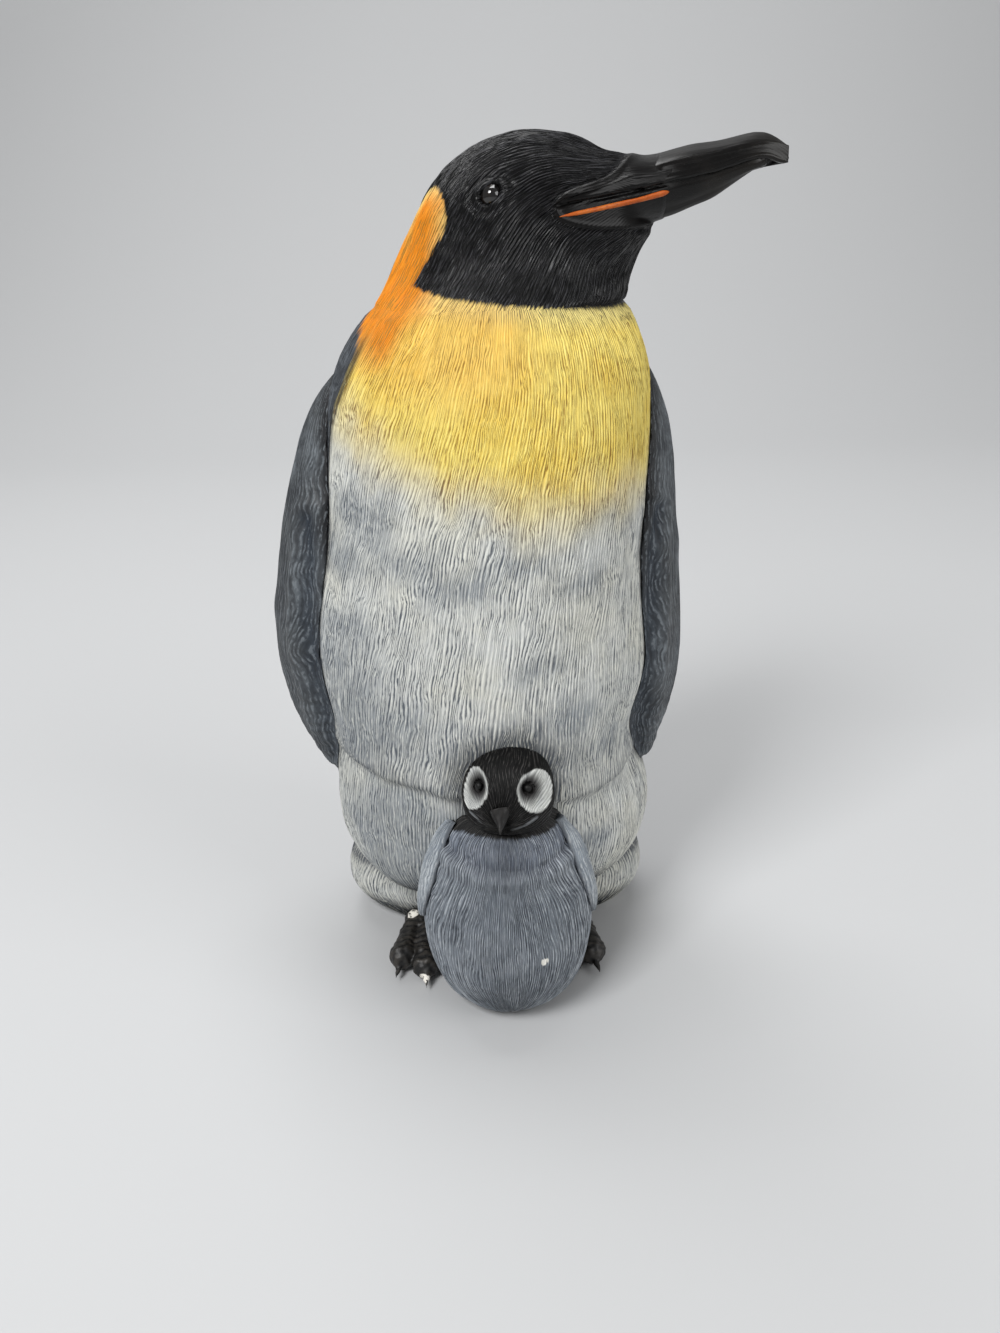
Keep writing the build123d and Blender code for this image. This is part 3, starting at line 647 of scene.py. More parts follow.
# pale_tip: the tip of the upper bill is painted paler, a painted highlight on the nail.
marks = {"pale_tip": ease(0.80, 0.95, along) * 0.4, "matt": ease(0.55, 0.8, rise)}
upper_piece = bill_piece("upper_bill_half", "upper_bill", upper, press, shift, marks)

lower, along, rise = bill_rings("lower_bill")
x = lower[..., 0]
keel = bell(rise - 0.22, 0.12) * ease(0.9, 0.6, along)
press = 0.14 * lumps(lower, 5, 62) - 0.25 * keel - 0.5 * ease(0.72, 0.9, rise) - 0.7 * ease(72.5, 76, x)
lip = np.maximum(curve(x, MOUTH), -0.2) + 0.5
shift = lip * ease(0.5, 1.0, rise) + curve(x, KEEL) * ease(0.6, 0.0, rise)
# pale_tip: the lower bill is painted paler towards its tip, a painted highlight.
marks = {"pale_tip": ease(0.55, 0.7, along) * 0.3, "matt": ease(0.5, 0.2, rise)}
lower_piece = bill_piece("lower_bill_half", "lower_bill", lower, press, shift, marks)

# %% [markdown]
# A raised orange plate runs along each side of the lower bill, from the corner of the mouth to the middle.
# It could be painted on, but on the object it stands up and catches light along its upper edge. Its
# rings follow a line on the cheek and the bill, and each ring is a thin oval laid on the surface.

# %% Bill plates
cheek_tree = search_tree(head_piece.data, lower_piece.data)
PLATE_LINE = [(20.4, 205.1), (30.5, 206.7), (40.8, 208.5), (48.2, 210.1)]
PLATE_RINGS = 80
PLATE_COLUMNS = 20
plates = {}
for name, side in (("right_bill_plate", -1), ("left_bill_plate", 1)):
    spots, normals = [], []
    for x in np.linspace(PLATE_LINE[0][0], PLATE_LINE[-1][0], PLATE_RINGS):
        spot = Vector((x, 2 + side * 60, float(read_off(x, PLATE_LINE))))
        hit, normal = cheek_tree.ray_cast(spot, BACK * -side)[:2]
        spots.append(hit)
        normals.append(normal if normal.y * side > 0 else -normal)
    spots, normals = np.array(spots), np.array(normals)
    for _ in range(12):
        spots[1:-1] = evened(spots)
        normals[1:-1] = evened(normals)
    rings = np.zeros((PLATE_RINGS, PLATE_COLUMNS, 3))
    for i, share in enumerate(np.linspace(0, 1, PLATE_RINGS)):
        normal = Vector(normals[i]).normalized()
        climb = normal.cross(Vector((1, 0, 0.18))).normalized()
        taper = min(1.0, share / 0.15, (1 - share) / 0.06) ** 0.6 * (0.42 + 0.32 * share)
        for j in range(PLATE_COLUMNS):
            turn = 2 * math.pi * j / PLATE_COLUMNS
            edge = Vector(spots[i]) + climb * (taper * math.cos(turn))
            rings[i, j] = edge + normal * (0.1 + 0.6 * taper * math.sin(turn))
    plates[name] = skin(name, rings, (rings[0].mean(0), rings[-1].mean(0)), {"flow": flow_of(rings, 3)})

# %% [markdown]
# The eyes are glossy beads under the lids. A bead is a UV sphere with a little cornea raised on its outer
# side and a shallow ring cut round it, so that the highlight breaks at the iris as it does on the object.

# %% Eyes
EYE_RADIUS = 2.85


def eye_bead(name, node, centre, side):
    """Bead with a raised cornea that looks out to one side."""
    bm = bmesh.new()
    bmesh.ops.create_uvsphere(bm, u_segments=48, v_segments=32, radius=EYE_RADIUS)
    look = Vector((0.12, side, 0.1)).normalized()
    for vert in bm.verts:
        away = vert.co.angle(look)
        vert.co *= float(1 + 0.05 * bell(away, 0.45) - 0.03 * bell(away - 0.75, 0.12))
        vert.co = (vert.co + centre) * MM
    bead = add_object(name, smooth_mesh(name, bm))
    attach(bead, "root")
    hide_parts(node)
    print(name, "at", [round(v, 1) for v in centre])
    return bead


eye_beads = [
    eye_bead("right_eye_bead", "right_eye", eyes[0], -1),
    eye_bead("left_eye_bead", "left_eye", eyes[1], 1),
]

# %% [markdown]
# The flippers lie along the sides. Level rings follow each one from the shoulder to the tip, and every ring
# looks out from the middle of its own crescent. A groove runs behind the rolled front edge, and small
# wrinkles gather at the tip, where the skin of a real flipper creases.

# %% Flippers
def crescent_middles(tree, levels, low, high):
    """Middle of a thin level section at each height, found with a row of rays across it and evened out."""
    found = []
    for z in levels:
        cuts = []
        for y in np.linspace(low.y, high.y, 90):
            outer = tree.ray_cast(Vector((low.x - 50, y, z)), RIGHT)[0]
            if outer:
                inner = tree.ray_cast(Vector((high.x + 50, y, z)), -RIGHT)[0]
                cuts.append((outer + inner) / 2)
        box_middle = Vector(((low.x + high.x) / 2, (low.y + high.y) / 2, z))
        found.append(cuts[len(cuts) // 2] if cuts else box_middle)
    found = np.array(found)
    for _ in range(120):
        found[1:-1] = evened(found)
    return [Vector((x, y, z)) for (x, y, _), z in zip(found, levels)]


def upright_rings(node, count, columns, trim=0.35):
    """Level rings down a thin upright solid, with its two tips."""
    tree = surface_of(node)
    start, end = (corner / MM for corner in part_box(node))
    levels = end.z - trim - (end.z - start.z - 2 * trim) * (1 - np.cos(np.linspace(0, np.pi, count))) / 2
    rings = wrap(tree, crescent_middles(tree, levels, start, end), RIGHT, BACK, columns)
    corners = corners_of(node)
    return rings, (corners[corners[:, 2].argmax()], corners[corners[:, 2].argmin()])


EDGE_GROOVE = [(-8.5, 132), (-11.8, 120.8), (-13.4, 109.8), (-15.1, 95.5), (-15.1, 79.9), (-12.3, 65.5),
               (-8, 56)]
FLIPPER_RINGS = 210
FLIPPER_COLUMNS = 240
flippers = []
for name, node, seed in (
    ("right_flipper_casting", "right_flipper", 71),
    ("left_flipper_casting", "left_flipper", 81),
):
    rings, tips = upright_rings(node, FLIPPER_RINGS, FLIPPER_COLUMNS)
    x, y, z = np.moveaxis(rings, -1, 0)
    gap = to_line(rings[..., 1:], EDGE_GROOVE)
    height, marks = comb(rings, across=58, cell=6.0, seed=seed)
    wrinkle = np.sin(z * 1.6 + 2.5 * lumps(rings, 6, seed + 5)) * ease(100, 70, z) * ease(2, -12, y)
    press = 0.2 * (height - 0.5) + 0.22 * wrinkle + 0.4 * lumps(rings, 8, seed + 6)
    press += 0.8 * bell(gap - 3.2, 1.6) - 1.3 * bell(gap, 1.1)
    body_gap = gap_to(body_tree, rings, np.abs(x) < 51)
    press *= ease(0.1, 2.0, body_gap)
    marks["crease"] = bell(gap, 1.5)
    marks["edge"] = ease(3.6, 0.4, body_gap) * ease(104, 130, z)
    # Lighter towards the front of each flipper: painted light on the side that faces the lamps.
    marks["front"] = ease(4, -14, y)
    marks["flow"] = flow_of(rings, 4)
    piece = skin(name, pressed(rings, press), tips, marks)
    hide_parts(node)
    flippers.append(piece)

# %% [markdown]
# The tail is a short wedge of stiff feathers behind the hips. Its rings stand upright from the body to the
# tip, so its columns run along the feathers, and wider grooves part them into a fan.

# %% Tail
TAIL_RINGS = 110
TAIL_COLUMNS = 200
FEATHER_WIDTH = 4.2
tail_tree = surface_of("tail")
start, end = (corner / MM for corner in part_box("tail"))
stations = np.linspace(start.y + 0.4, end.y - 0.15, TAIL_RINGS)
middles = [span_middle(tail_tree, Vector((0, y, (start.z + end.z) / 2)), UP) for y in stations]
for _ in range(4):
    middles[1:-1] = [(a + b * 2 + c) / 4 for a, b, c in zip(middles, middles[1:], middles[2:])]
tail = wrap(tail_tree, middles, RIGHT, UP, TAIL_COLUMNS)
x, y, z = np.moveaxis(tail, -1, 0)
height, marks = comb(tail, across=60, cell=5.0, seed=91)
fan = np.cos(x * 2 * np.pi / FEATHER_WIDTH) * ease(2, 8, y - 43) * ease(1.2, 3, z)
press = 0.4 * (height - 0.5) + 0.35 * fan + 0.25 * lumps(tail, 6, 92)
press *= ease(0.2, 1.5, z - 1)
marks["flow"] = flow_of(tail, 5)
tail_piece = skin("tail_casting", pressed(tail, press), (tail[0].mean(0), tail[-1].mean(0)), marks)
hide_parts("tail")

# %% [markdown]
# The feet are knobbly: scales over the toes, joints, and a thin web. Rings don't suit a form with three toes,
# so a copy of each solid is merged, remeshed into small even squares and then pressed with scale-like cells.
# The original stays as it is.

# %% Feet
def even_copy(name, node, voxel):
    """Copy of a solid with its loose triangles merged and remeshed into small squares."""
    bm = bmesh.new()
    bm.from_mesh(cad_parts[node].data)
    bmesh.ops.remove_doubles(bm, verts=bm.verts, dist=1e-6)
    mesh = bpy.data.meshes.new(name)
    bm.to_mesh(mesh)
    bm.free()
    piece = add_object(name, mesh)
    remesh = piece.modifiers.new("even squares", "REMESH")
    remesh.mode = "VOXEL"
    remesh.voxel_size = voxel * MM
    shape = bpy.data.meshes.new_from_object(piece.evaluated_get(bpy.context.evaluated_depsgraph_get()))
    piece.modifiers.clear()
    piece.data = shape
    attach(piece, "root")
    return piece


def points_of(mesh):
    """Places and normals of a mesh's points, in millimetres."""
    places = np.empty(len(mesh.vertices) * 3)
    normals = np.empty(len(mesh.vertices) * 3)
    mesh.vertices.foreach_get("co", places)
    mesh.vertices.foreach_get("normal", normals)
    return places.reshape(-1, 3) / MM, normals.reshape(-1, 3)


FOOT_SQUARE = 0.42
FOOT_CHIPS = [((-26.0, -19.5, 7.5), 1.8), ((-21.5, -43.5, 2.0), 2.0)]
feet = []
for name, node in (("right_foot_casting", "right_foot"), ("left_foot_casting", "left_foot")):
    piece = even_copy(name, node, FOOT_SQUARE)
    places, normals = points_of(piece.data)
    rows = np.sin(places[:, 1] * 2.6 + 2.6 * lumps(places, 2.6, 101))
    knobs = 0.6 * lumps(places, 2.0, 102) + 0.4 * lumps(places, 1.1, 103)
    press = (0.12 * rows + 0.6 * knobs) * ease(0.6, 2.2, places[:, 2] - 1) * ease(-6, -16, places[:, 1])
    moved = places + normals * press[:, None]
    moved[:, 2] = np.maximum(moved[:, 2], 1.0)
    piece.data.vertices.foreach_set("co", (moved * MM).ravel())
    chip = np.minimum(*[distance(places, spot) - radius for spot, radius in FOOT_CHIPS])
    for title, values in (("groove", ease(0.1, -0.5, rows + knobs)), ("chip", chip)):
        layer = piece.data.attributes.new(title, "FLOAT", "POINT")
        layer.data.foreach_set("value", values.astype(np.float32))
    for face in piece.data.polygons:
        face.use_smooth = True
    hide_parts(node)
    feet.append(piece)
    print(name, "faces", len(piece.data.polygons))

# %% [markdown]
# The chick leans on the belly. Its body is pear-shaped with upright strokes, and a fold runs round under its
# chin like a collar. Level rings suit it as they suit the adult's body.

# %% Chick body
chick_tree = surface_of("chick_body")
low, high = (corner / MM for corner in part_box("chick_body"))
CHICK_RINGS = 150
CHICK_COLUMNS = 440
COLLAR = [(-13, -46, 51.5), (-11.5, -50, 51), (-3.4, -58.2, 50.4), (4.3, -60, 50.0), (13.5, -56.8, 49.6),
          (19.5, -49.4, 50), (21, -46, 51)]
CAPE_EDGE = [(-13, 53), (-11.7, 54.5), (-8, 56.6), (-3, 57.6), (3, 57.6), (11.2, 57), (18.8, 55.6),
             (20, 54.5)]
CHICK_CHIP = (12.9, -63.9, 24.3)
levels = high.z - 0.1 - (high.z - low.z - 0.15) * np.linspace(0, 1, CHICK_RINGS)
middles = [Vector((3.5, -56.0 + 4.0 * float(ease(45, 59, z)), z)) for z in levels]
chick = wrap(chick_tree, middles, RIGHT, BACK, CHICK_COLUMNS)
x, y, z = np.moveaxis(chick, -1, 0)
collar = to_line(chick, COLLAR)
above = ease(49.5, 52, z)
height, chick_marks = comb(chick, across=108, cell=5.5, seed=121)
press = 0.5 * (height - 0.5) - 0.7 * bell(collar, 1.3) + 0.8 * bell(collar - 3, 2) * (1 - above)
press += 0.3 * lumps(chick, 8, 122) - 0.35 * above
press *= ease(0, 1.5, z - 1) * ease(-40, -45, y)
chick_skin = pressed(chick, press)
chick_marks |= {"collar": above, "crease": bell(collar, 1.8), "chip": distance(chick, CHICK_CHIP) - 0.8}
chick_marks |= {"cape": z - read_off(x, CAPE_EDGE), "flow": flow_of(chick)}
base = chick_skin[-1].copy()
base[:, 2] = 1.0
whole = np.concatenate((chick_skin, [base], [base * (0.4, 0.4, 1) + (2.1, -33, 0)]))
chick_piece = skin("chick_body_casting", whole, ((3.5, -52, high.z), (3.5, -54, 1.0)), pad(chick_marks, 0, 2))
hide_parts("chick_body")

# %% [markdown]
# The chick's head is a small black dome with two pale eye patches, each dished round a dark eye, and pale
# lines from the patches to the corners of the bill. The rays start from one middle and tilt back ring by ring
# from the bill, so the strokes spread from the face. The patches are outlines seen from its middle.

# %% Chick head
chick_head_tree = surface_of("chick_head")
DOME_RINGS = 130
DOME_COLUMNS = 260
HEAD_MIDDLE = Vector((4.0, -48.5, 66.5))
FACE = Vector((-0.13, -0.88, -0.45)).normalized()
CROWN = Vector((0, -0.45, 0.88)).normalized()
tilts = np.radians(np.linspace(88.5, -75, DOME_RINGS))
flat = [CROWN.cross(FACE) * math.cos(t) for t in tilts]
deep = [CROWN * math.cos(t) for t in tilts]
lift = [FACE * math.sin(t) for t in tilts]
dome = wrap(chick_head_tree, [HEAD_MIDDLE] * DOME_RINGS, flat, deep, DOME_COLUMNS, lift=lift)
NEAR_EYE_PATCH = [(-4.1, -48.5, 76.2), (-7.0, -49, 72.5), (-7.6, -50, 67.5), (-6.3, -51.5, 64.6),
                  (-3.2, -55, 66.0), (-0.6, -56, 70.0), (0.0, -55, 73), (-1.2, -52.3, 76)]
FAR_EYE_PATCH = [(13.6, -49.6, 75.0), (9.1, -53, 76), (6.0, -56, 73.4), (6.6, -57, 69.5), (9.0, -57, 66.2),
                 (12.6, -54.6, 64.2), (15.6, -50.8, 66.5), (15.8, -49, 71)]
NEAR_CHEEK = [(-5.5, -52.5, 64.2), (-2.5, -56.0, 62.2), (0.2, -57.5, 61.0)]
FAR_CHEEK = [(11.5, -55.5, 63.8), (8, -57.3, 62), (5, -57.8, 61.2)]
SKULL = np.array((4.5, -45.5, 68.0))


def seen_from_skull(places, centre):
    """Flat places of points as the middle of the skull sees them, looking at a patch's centre."""
    ahead = np.array(centre, float) - SKULL
    radius = np.linalg.norm(ahead)
    ahead /= radius
    across = np.cross(ahead, (0, 0, 1))
    across /= np.linalg.norm(across)
    rise = np.cross(across, ahead)
    spots = np.asarray(places, float) - SKULL
    depth = spots @ ahead
    far = np.where(depth > 0.15 * radius, depth, 0.15 * radius)
    flat = np.stack((spots @ across, spots @ rise), -1) / far[..., None] * radius
    return np.where((depth > 0.15 * radius)[..., None], flat, 99.0)


patch = np.full(dome.shape[:2], -20.0)
for outline in (NEAR_EYE_PATCH, FAR_EYE_PATCH):
    centre = np.mean(outline, axis=0)
    patch = np.maximum(patch, to_outline(seen_from_skull(dome, centre), seen_from_skull(outline, centre)))
eye_points = corners_of("chick_eyes")
eye_sides = (eye_points[eye_points[:, 0] < 3], eye_points[eye_points[:, 0] > 3])
chick_eye_centres = [(p.max(0) + p.min(0)) / 2 for p in eye_sides]
pupil = np.minimum(*[distance(dome, centre) for centre in chick_eye_centres])
cheek = np.minimum(to_line(dome, NEAR_CHEEK), to_line(dome, FAR_CHEEK))
height, dome_marks = comb(dome, across=66, cell=3.5, seed=131)
press = 0.35 * (height - 0.5) * (1 - 0.5 * ease(0, 1, patch)) + 0.45 * bell(patch - 0.3, 0.9)
press += 0.2 * bell(cheek, 0.7) - 0.7 * bell(pupil, 3.0) + 0.15 * lumps(dome, 4, 132)
press *= ease(0.2, 1.5, dome[..., 2] - 59) * ease(88, 75, np.degrees(tilts))[:, None]
dome_marks |= {"patch": patch, "pupil": pupil, "cheek": cheek, "flow": flow_of(dome, 5)}
dome_tips = (dome[0].mean(0), dome[-1].mean(0))
dome_piece = skin("chick_head_casting", pressed(dome, press), dome_tips, dome_marks)
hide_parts("chick_head")

# %% [markdown]
# The chick's bill is a stubby bent cone with a mouth line, its flippers are thin tapered pads on the sides of
# its body, and its eyes are small dark beads. They are little, but they give the face its look.

# %% Chick bill, eyes and flippers
BEAK_RINGS = 46
BEAK_COLUMNS = 56
points = corners_of("chick_bill")
tip = points[points[:, 1].argmin()]
root = points[points[:, 1] > np.quantile(points[:, 1], 0.7)].mean(0)
way = Vector(tip - root).normalized()
side = way.cross(UP).normalized()
rise = side.cross(way)
span = (Vector(tip) - Vector(root)).length
stations = np.linspace(0.0, 0.93, BEAK_RINGS)
middles = [Vector(root) + way * (span * s) for s in stations]
beak = wrap(surface_of("chick_bill"), middles, side, rise, BEAK_COLUMNS)
level = (beak - root) @ np.array(rise)
spread = ((beak - root) @ np.array(side))[..., None] * np.array(side)
beak = beak + spread * 0.45 * ease(1.0, 0.3, stations)[:, None, None]
mouth = bell(level + 0.25, 0.22) * ease(0.95, 0.6, stations)[:, None]
press = 0.16 * lumps(beak, 1.6, 141) - 0.22 * mouth
chick_bill_piece = skin("chick_bill_casting", pressed(beak, press), (root, tip), {"flow": flow_of(beak, 2)})
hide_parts("chick_bill")

CHICK_EYE_RADIUS = 1.05
CHICK_EYE_SINK = 0.07
bm = bmesh.new()
for centre in chick_eye_centres:
    centre = Vector(centre + CHICK_EYE_SINK * (SKULL - centre))
    made = bmesh.ops.create_uvsphere(bm, u_segments=32, v_segments=22, radius=CHICK_EYE_RADIUS)
    for vert in made["verts"]:
        vert.co = (vert.co + centre) * MM
chick_eye_piece = add_object("chick_eye_beads", smooth_mesh("chick_eye_beads", bm))
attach(chick_eye_piece, "root")
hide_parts("chick_eyes")

chick_flippers = []
for name, node, seed in (
    ("chick_right_flipper_casting", "chick_right_flipper", 151),
    ("chick_left_flipper_casting", "chick_left_flipper", 161),
):
    rings, tips = upright_rings(node, 90, 90, trim=0.2)
    height, marks = comb(rings, across=18, cell=4.0, seed=seed)
    gap = gap_to(chick_tree, rings, np.full(rings.shape[:2], True))
    press = (0.3 * (height - 0.5) + 0.25 * lumps(rings, 3, seed + 4)) * ease(0.1, 1.2, gap)
    # rim: painted shade in the crevice where the flipper meets the chick's body.
    marks |= {"rim": ease(1.3, 0.2, gap), "flow": flow_of(rings, 4)}
    piece = skin(name, pressed(rings, press), tips, marks)
    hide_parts(node)
    chick_flippers.append(piece)

# %% [markdown]
# Paint next. Colours are written as they look in a picture, from 0 to 255, and turned into the linear values
# that Blender mixes with. The effects that several finishes share are node groups: a brushed edge that turns
# a distance into a ragged mask, a wash that darkens grooves and dries pale on ridges, and a slow mottling.
# On the black hood that pale on the ridges is also painted highlight, the bright specks of light on its
# varnish.

# %% Colours and node helpers
def paint(red, green, blue):
    """Linear colour of a painted tone."""
    shares = np.array((red, green, blue)) / 255
    linear = np.where(shares <= 0.04045, shares / 12.92, ((shares + 0.055) / 1.055) ** 2.4)
    return (*[float(v) for v in linear], 1.0)


def feed(tree, socket, value):
    """Links a socket to another node's output, or sets its value."""
    if isinstance(value, bpy.types.NodeSocket):
        tree.links.new(value, socket)
    else:
        socket.default_value = value


def put(tree, kind, settings=None, **inputs):
    """New node with its settings and inputs. Inputs go by name, or by underscore and number."""
    node = tree.nodes.new(kind)
    for name, value in (settings or {}).items():
        setattr(node, name, value)
    for name, value in inputs.items():
        feed(tree, node.inputs[int(name[1:]) if name[0] == "_" else name.replace("_", " ")], value)
    return node


def sums(tree, operation, first, second=0.0, clamp=False):
    """Math node's result."""
    settings = {"operation": operation, "use_clamp": clamp}
    return put(tree, "ShaderNodeMath", settings, _0=first, _1=second).outputs[0]


def times(tree, first, second):
    """Product of two values."""
    return sums(tree, "MULTIPLY", first, second)


def plus(tree, first, second):
    """Sum of two values."""
    return sums(tree, "ADD", first, second)


def less(tree, first, second):
    """First value less the second."""
    return sums(tree, "SUBTRACT", first, second)


def blend(tree, share, first, second):
    """Colour between two colours."""
    return put(tree, "ShaderNodeMix", {"data_type": "RGBA"}, _0=share, _6=first, _7=second).outputs[2]


def mark(tree, name, strength=1.0):
    """Value that the skin carries on its points, times a strength."""
    value = put(tree, "ShaderNodeAttribute", {"attribute_name": name}).outputs["Fac"]
    return value if strength == 1.0 else times(tree, value, strength)


def steps(tree, value, low, high):
    """Smooth step of a value from 0 at low to 1 at high."""
    settings = {"interpolation_type": "SMOOTHSTEP"}
    node = put(tree, "ShaderNodeMapRange", settings, Value=value, From_Min=low, From_Max=high)
    return node.outputs["Result"]


def noise(tree, scale, detail, along=True, **more):
    """Noise that runs along the strokes, or else lies evenly in the piece's own space."""
    if along:
        place = put(tree, "ShaderNodeAttribute", {"attribute_name": "flow"}).outputs["Vector"]
    else:
        place = put(tree, "ShaderNodeTexCoord").outputs["Object"]
    return put(tree, "ShaderNodeTexNoise", Vector=place, Scale=scale, Detail=detail, **more).outputs["Fac"]


print("white paint in linear values:", [round(v, 3) for v in paint(245, 243, 235)])

# %% Shared effects
def new_group(name, inputs, outputs):
    """Empty shader group with named sockets, and its two ends."""
    group = bpy.data.node_groups.new(name, "ShaderNodeTree")
    for title, kind, value in inputs:
        socket = group.interface.new_socket(title, in_out="INPUT", socket_type=f"NodeSocket{kind}")
        socket.default_value = value
    for title, kind in outputs:
        group.interface.new_socket(title, in_out="OUTPUT", socket_type=f"NodeSocket{kind}")
    return group, group.nodes.new("NodeGroupInput").outputs, group.nodes.new("NodeGroupOutput").inputs


brushed_edge, given, result = new_group(
    "brushed edge",
    [("Distance", "Float", 0), ("Softness", "Float", 1), ("Wander", "Float", 1), ("Scale", "Float", 0.6)],
    [("Mask", "Float")],
)
tree = brushed_edge
rough = noise(tree, given["Scale"], 3.0)
ragged = times(tree, less(tree, rough, 0.5), given["Wander"])
place = plus(tree, given["Distance"], times(tree, ragged, 2.0))
share = sums(tree, "ADD", sums(tree, "DIVIDE", place, given["Softness"]), 0.5, clamp=True)
tree.links.new(share, result["Mask"])

stroke_wash, given, result = new_group(
    "stroke wash",
    [("Color", "Color", (1, 1, 1, 1)), ("Wash", "Color", (0, 0, 0, 1)), ("Depth", "Float", 0.7),
     ("Dry", "Color", (1, 1, 1, 1)), ("Dust", "Float", 0.3)],
    [("Color", "Color"), ("Height", "Float")],
)
tree = stroke_wash
chart = put(tree, "ShaderNodeUVMap", {"uv_map": "strokes"}).outputs["UV"]
number = put(tree, "ShaderNodeSeparateXYZ", Vector=chart).outputs["X"]
slow = noise(tree, 0.6, 2.0)
hair = noise(tree, 2.4, 3.0, Roughness=0.6)
force = noise(tree, 0.85, 1.0)
patchy = noise(tree, 120.0, 3.0, along=False)
shift = plus(tree, times(tree, less(tree, hair, 0.5), 0.45), times(tree, less(tree, slow, 0.5), 0.9))
turn = times(tree, plus(tree, number, shift), 2 * math.pi)
wave = sums(tree, "COSINE", turn)
split = sums(tree, "COSINE", times(tree, turn, 2.0))
relief = put(tree, "ShaderNodeMix", Factor=steps(tree, force, 0.40, 0.58), A=split, B=wave).outputs[0]
cut = times(tree, steps(tree, relief, -0.1, -0.8), steps(tree, hair, 0.25, 0.5))
amount = times(tree, cut, times(tree, given["Depth"], steps(tree, patchy, 0.15, 0.6)))
washed = blend(tree, amount, given["Color"], given["Wash"])
raised = times(tree, steps(tree, relief, 0.1, 0.9), steps(tree, hair, 0.4, 0.6))
ridge_dust_and_sparkle = blend(tree, times(tree, raised, given["Dust"]), washed, given["Dry"])
tree.links.new(ridge_dust_and_sparkle, result["Color"])
height = plus(tree, times(tree, relief, 0.35), times(tree, hair, 0.6))
tree.links.new(height, result["Height"])

mottle, given, result = new_group(
    "mottle",
    [("Color", "Color", (1, 1, 1, 1)), ("Other", "Color", (0, 0, 0, 1)), ("Size", "Float", 40),
     ("Amount", "Float", 0.5)],
    [("Color", "Color"), ("Mask", "Float")],
)
tree = mottle
cloud = noise(tree, given["Size"], 4.0, along=False, Roughness=0.6)
cover = times(tree, steps(tree, cloud, 0.42, 0.66), given["Amount"])
tree.links.new(blend(tree, cover, given["Color"], given["Other"]), result["Color"])
tree.links.new(cover, result["Mask"])
print("groups:", [g.name for g in bpy.data.node_groups])

# %% [markdown]
# A finish is a short chain: base tone, masks, mottling, wash, then one Principled shader. Roughness follows
# the paint: the belly is matt, the hood has a satin varnish and the bill is glossy. The fine hair noise also
# feeds a bump, on top of the strokes that are really there.

# %% Finish helpers
def new_finish(name, pieces, specular=0.5):
    """New material on the pieces, as its node tree and its Principled shader."""
    material = bpy.data.materials.new(name)
    material.use_nodes = True
    for piece in pieces:
        piece.data.materials.clear()
        piece.data.materials.append(material)
    shader = material.node_tree.nodes["Principled BSDF"]
    shader.inputs["Specular IOR Level"].default_value = specular
    return material.node_tree, shader


def mottled(tree, colour, other, size, amount):
    """Tone with slow patches of another, and the mask of the patches."""
    inputs = {"Color": colour, "Other": other, "Size": size, "Amount": amount}
    return put(tree, "ShaderNodeGroup", {"node_tree": mottle}, **inputs).outputs


def combed(tree, colour, wash, depth, dry, dust):
    """Tone with wash in the grooves and dry paint on the ridges of its strokes, and the strokes' height. On
    the black hood the pale on the ridges is also painted highlight.
    """
    inputs = {"Color": colour, "Wash": wash, "Depth": depth, "Dry": dry, "Dust": dust}
    return put(tree, "ShaderNodeGroup", {"node_tree": stroke_wash}, **inputs).outputs


def edged(tree, gap, softness, wander, scale=0.6):
    """Ragged mask of a signed distance."""
    inputs = {"Distance": gap, "Softness": softness, "Wander": wander, "Scale": scale}
    return put(tree, "ShaderNodeGroup", {"node_tree": brushed_edge}, **inputs).outputs["Mask"]


def layers(tree, colour, *coats):
    """Colour with coats over it, each with its mask and its tone."""
    for mask, tone in coats:
        colour = blend(tree, mask, colour, tone)
    return colour


def finish(tree, shader, colour, roughness, height=None, strength=0.35, depth=0.0004):
    """Gives a shader its colour, roughness and bump."""
    feed(tree, shader.inputs["Base Color"], colour)
    feed(tree, shader.inputs["Roughness"], roughness)
    if height is not None:
        bump = put(tree, "ShaderNodeBump", Strength=strength, Distance=depth, Height=height)
        tree.links.new(bump.outputs["Normal"], shader.inputs["Normal"])


print("finishes start")

# %% Adult plumage
tree, shader = new_finish("adult_plumage", (body_piece, head_piece), specular=0.2)
gold, orange, sheath = mark(tree, "gold"), mark(tree, "orange"), mark(tree, "gloss")
under_hood = steps(tree, mark(tree, "hood"), -6.5, -0.5)
hood = edged(tree, mark(tree, "hood"), 0.8, 1.2, 2.4)
back = edged(tree, mark(tree, "back"), 2.5, 3.0)
pale = mottled(tree, paint(204, 206, 203), paint(220, 218, 203), 45.0, 0.5)["Color"]
yellow = mottled(tree, paint(236, 213, 112), paint(232, 199, 84), 60.0, 0.7)["Color"]
slate = mottled(tree, paint(64, 67, 71), paint(90, 95, 101), 50.0, 0.7)["Color"]
coat = layers(
    tree, pale,
    # Blue-grey patches, and painted shade on the lower left of the belly.
    (mark(tree, "cool_and_shade", 0.8), paint(138, 144, 150)),
    (gold, yellow),
    (times(tree, under_hood, 0.7), paint(216, 202, 138)),
    (orange, paint(218, 128, 14)),
    (back, slate),
    (mark(tree, "shade", 0.85), paint(58, 62, 70)),
    (mark(tree, "line", 0.92), paint(24, 25, 28)),
    (mark(tree, "ankle"), paint(26, 25, 25)),
)
wash = layers(
    tree, paint(78, 84, 92),
    (gold, paint(142, 108, 42)),
    (times(tree, under_hood, less(tree, 1.0, orange)), paint(66, 64, 52)),
    (back, paint(30, 33, 38)),
)
dry = layers(
    tree, paint(240, 240, 230),
    (gold, paint(250, 234, 148)),
    (orange, paint(236, 154, 46)),
    (back, paint(120, 126, 132)),
)
washed = combed(tree, coat, wash, 0.95, dry, 0.5)
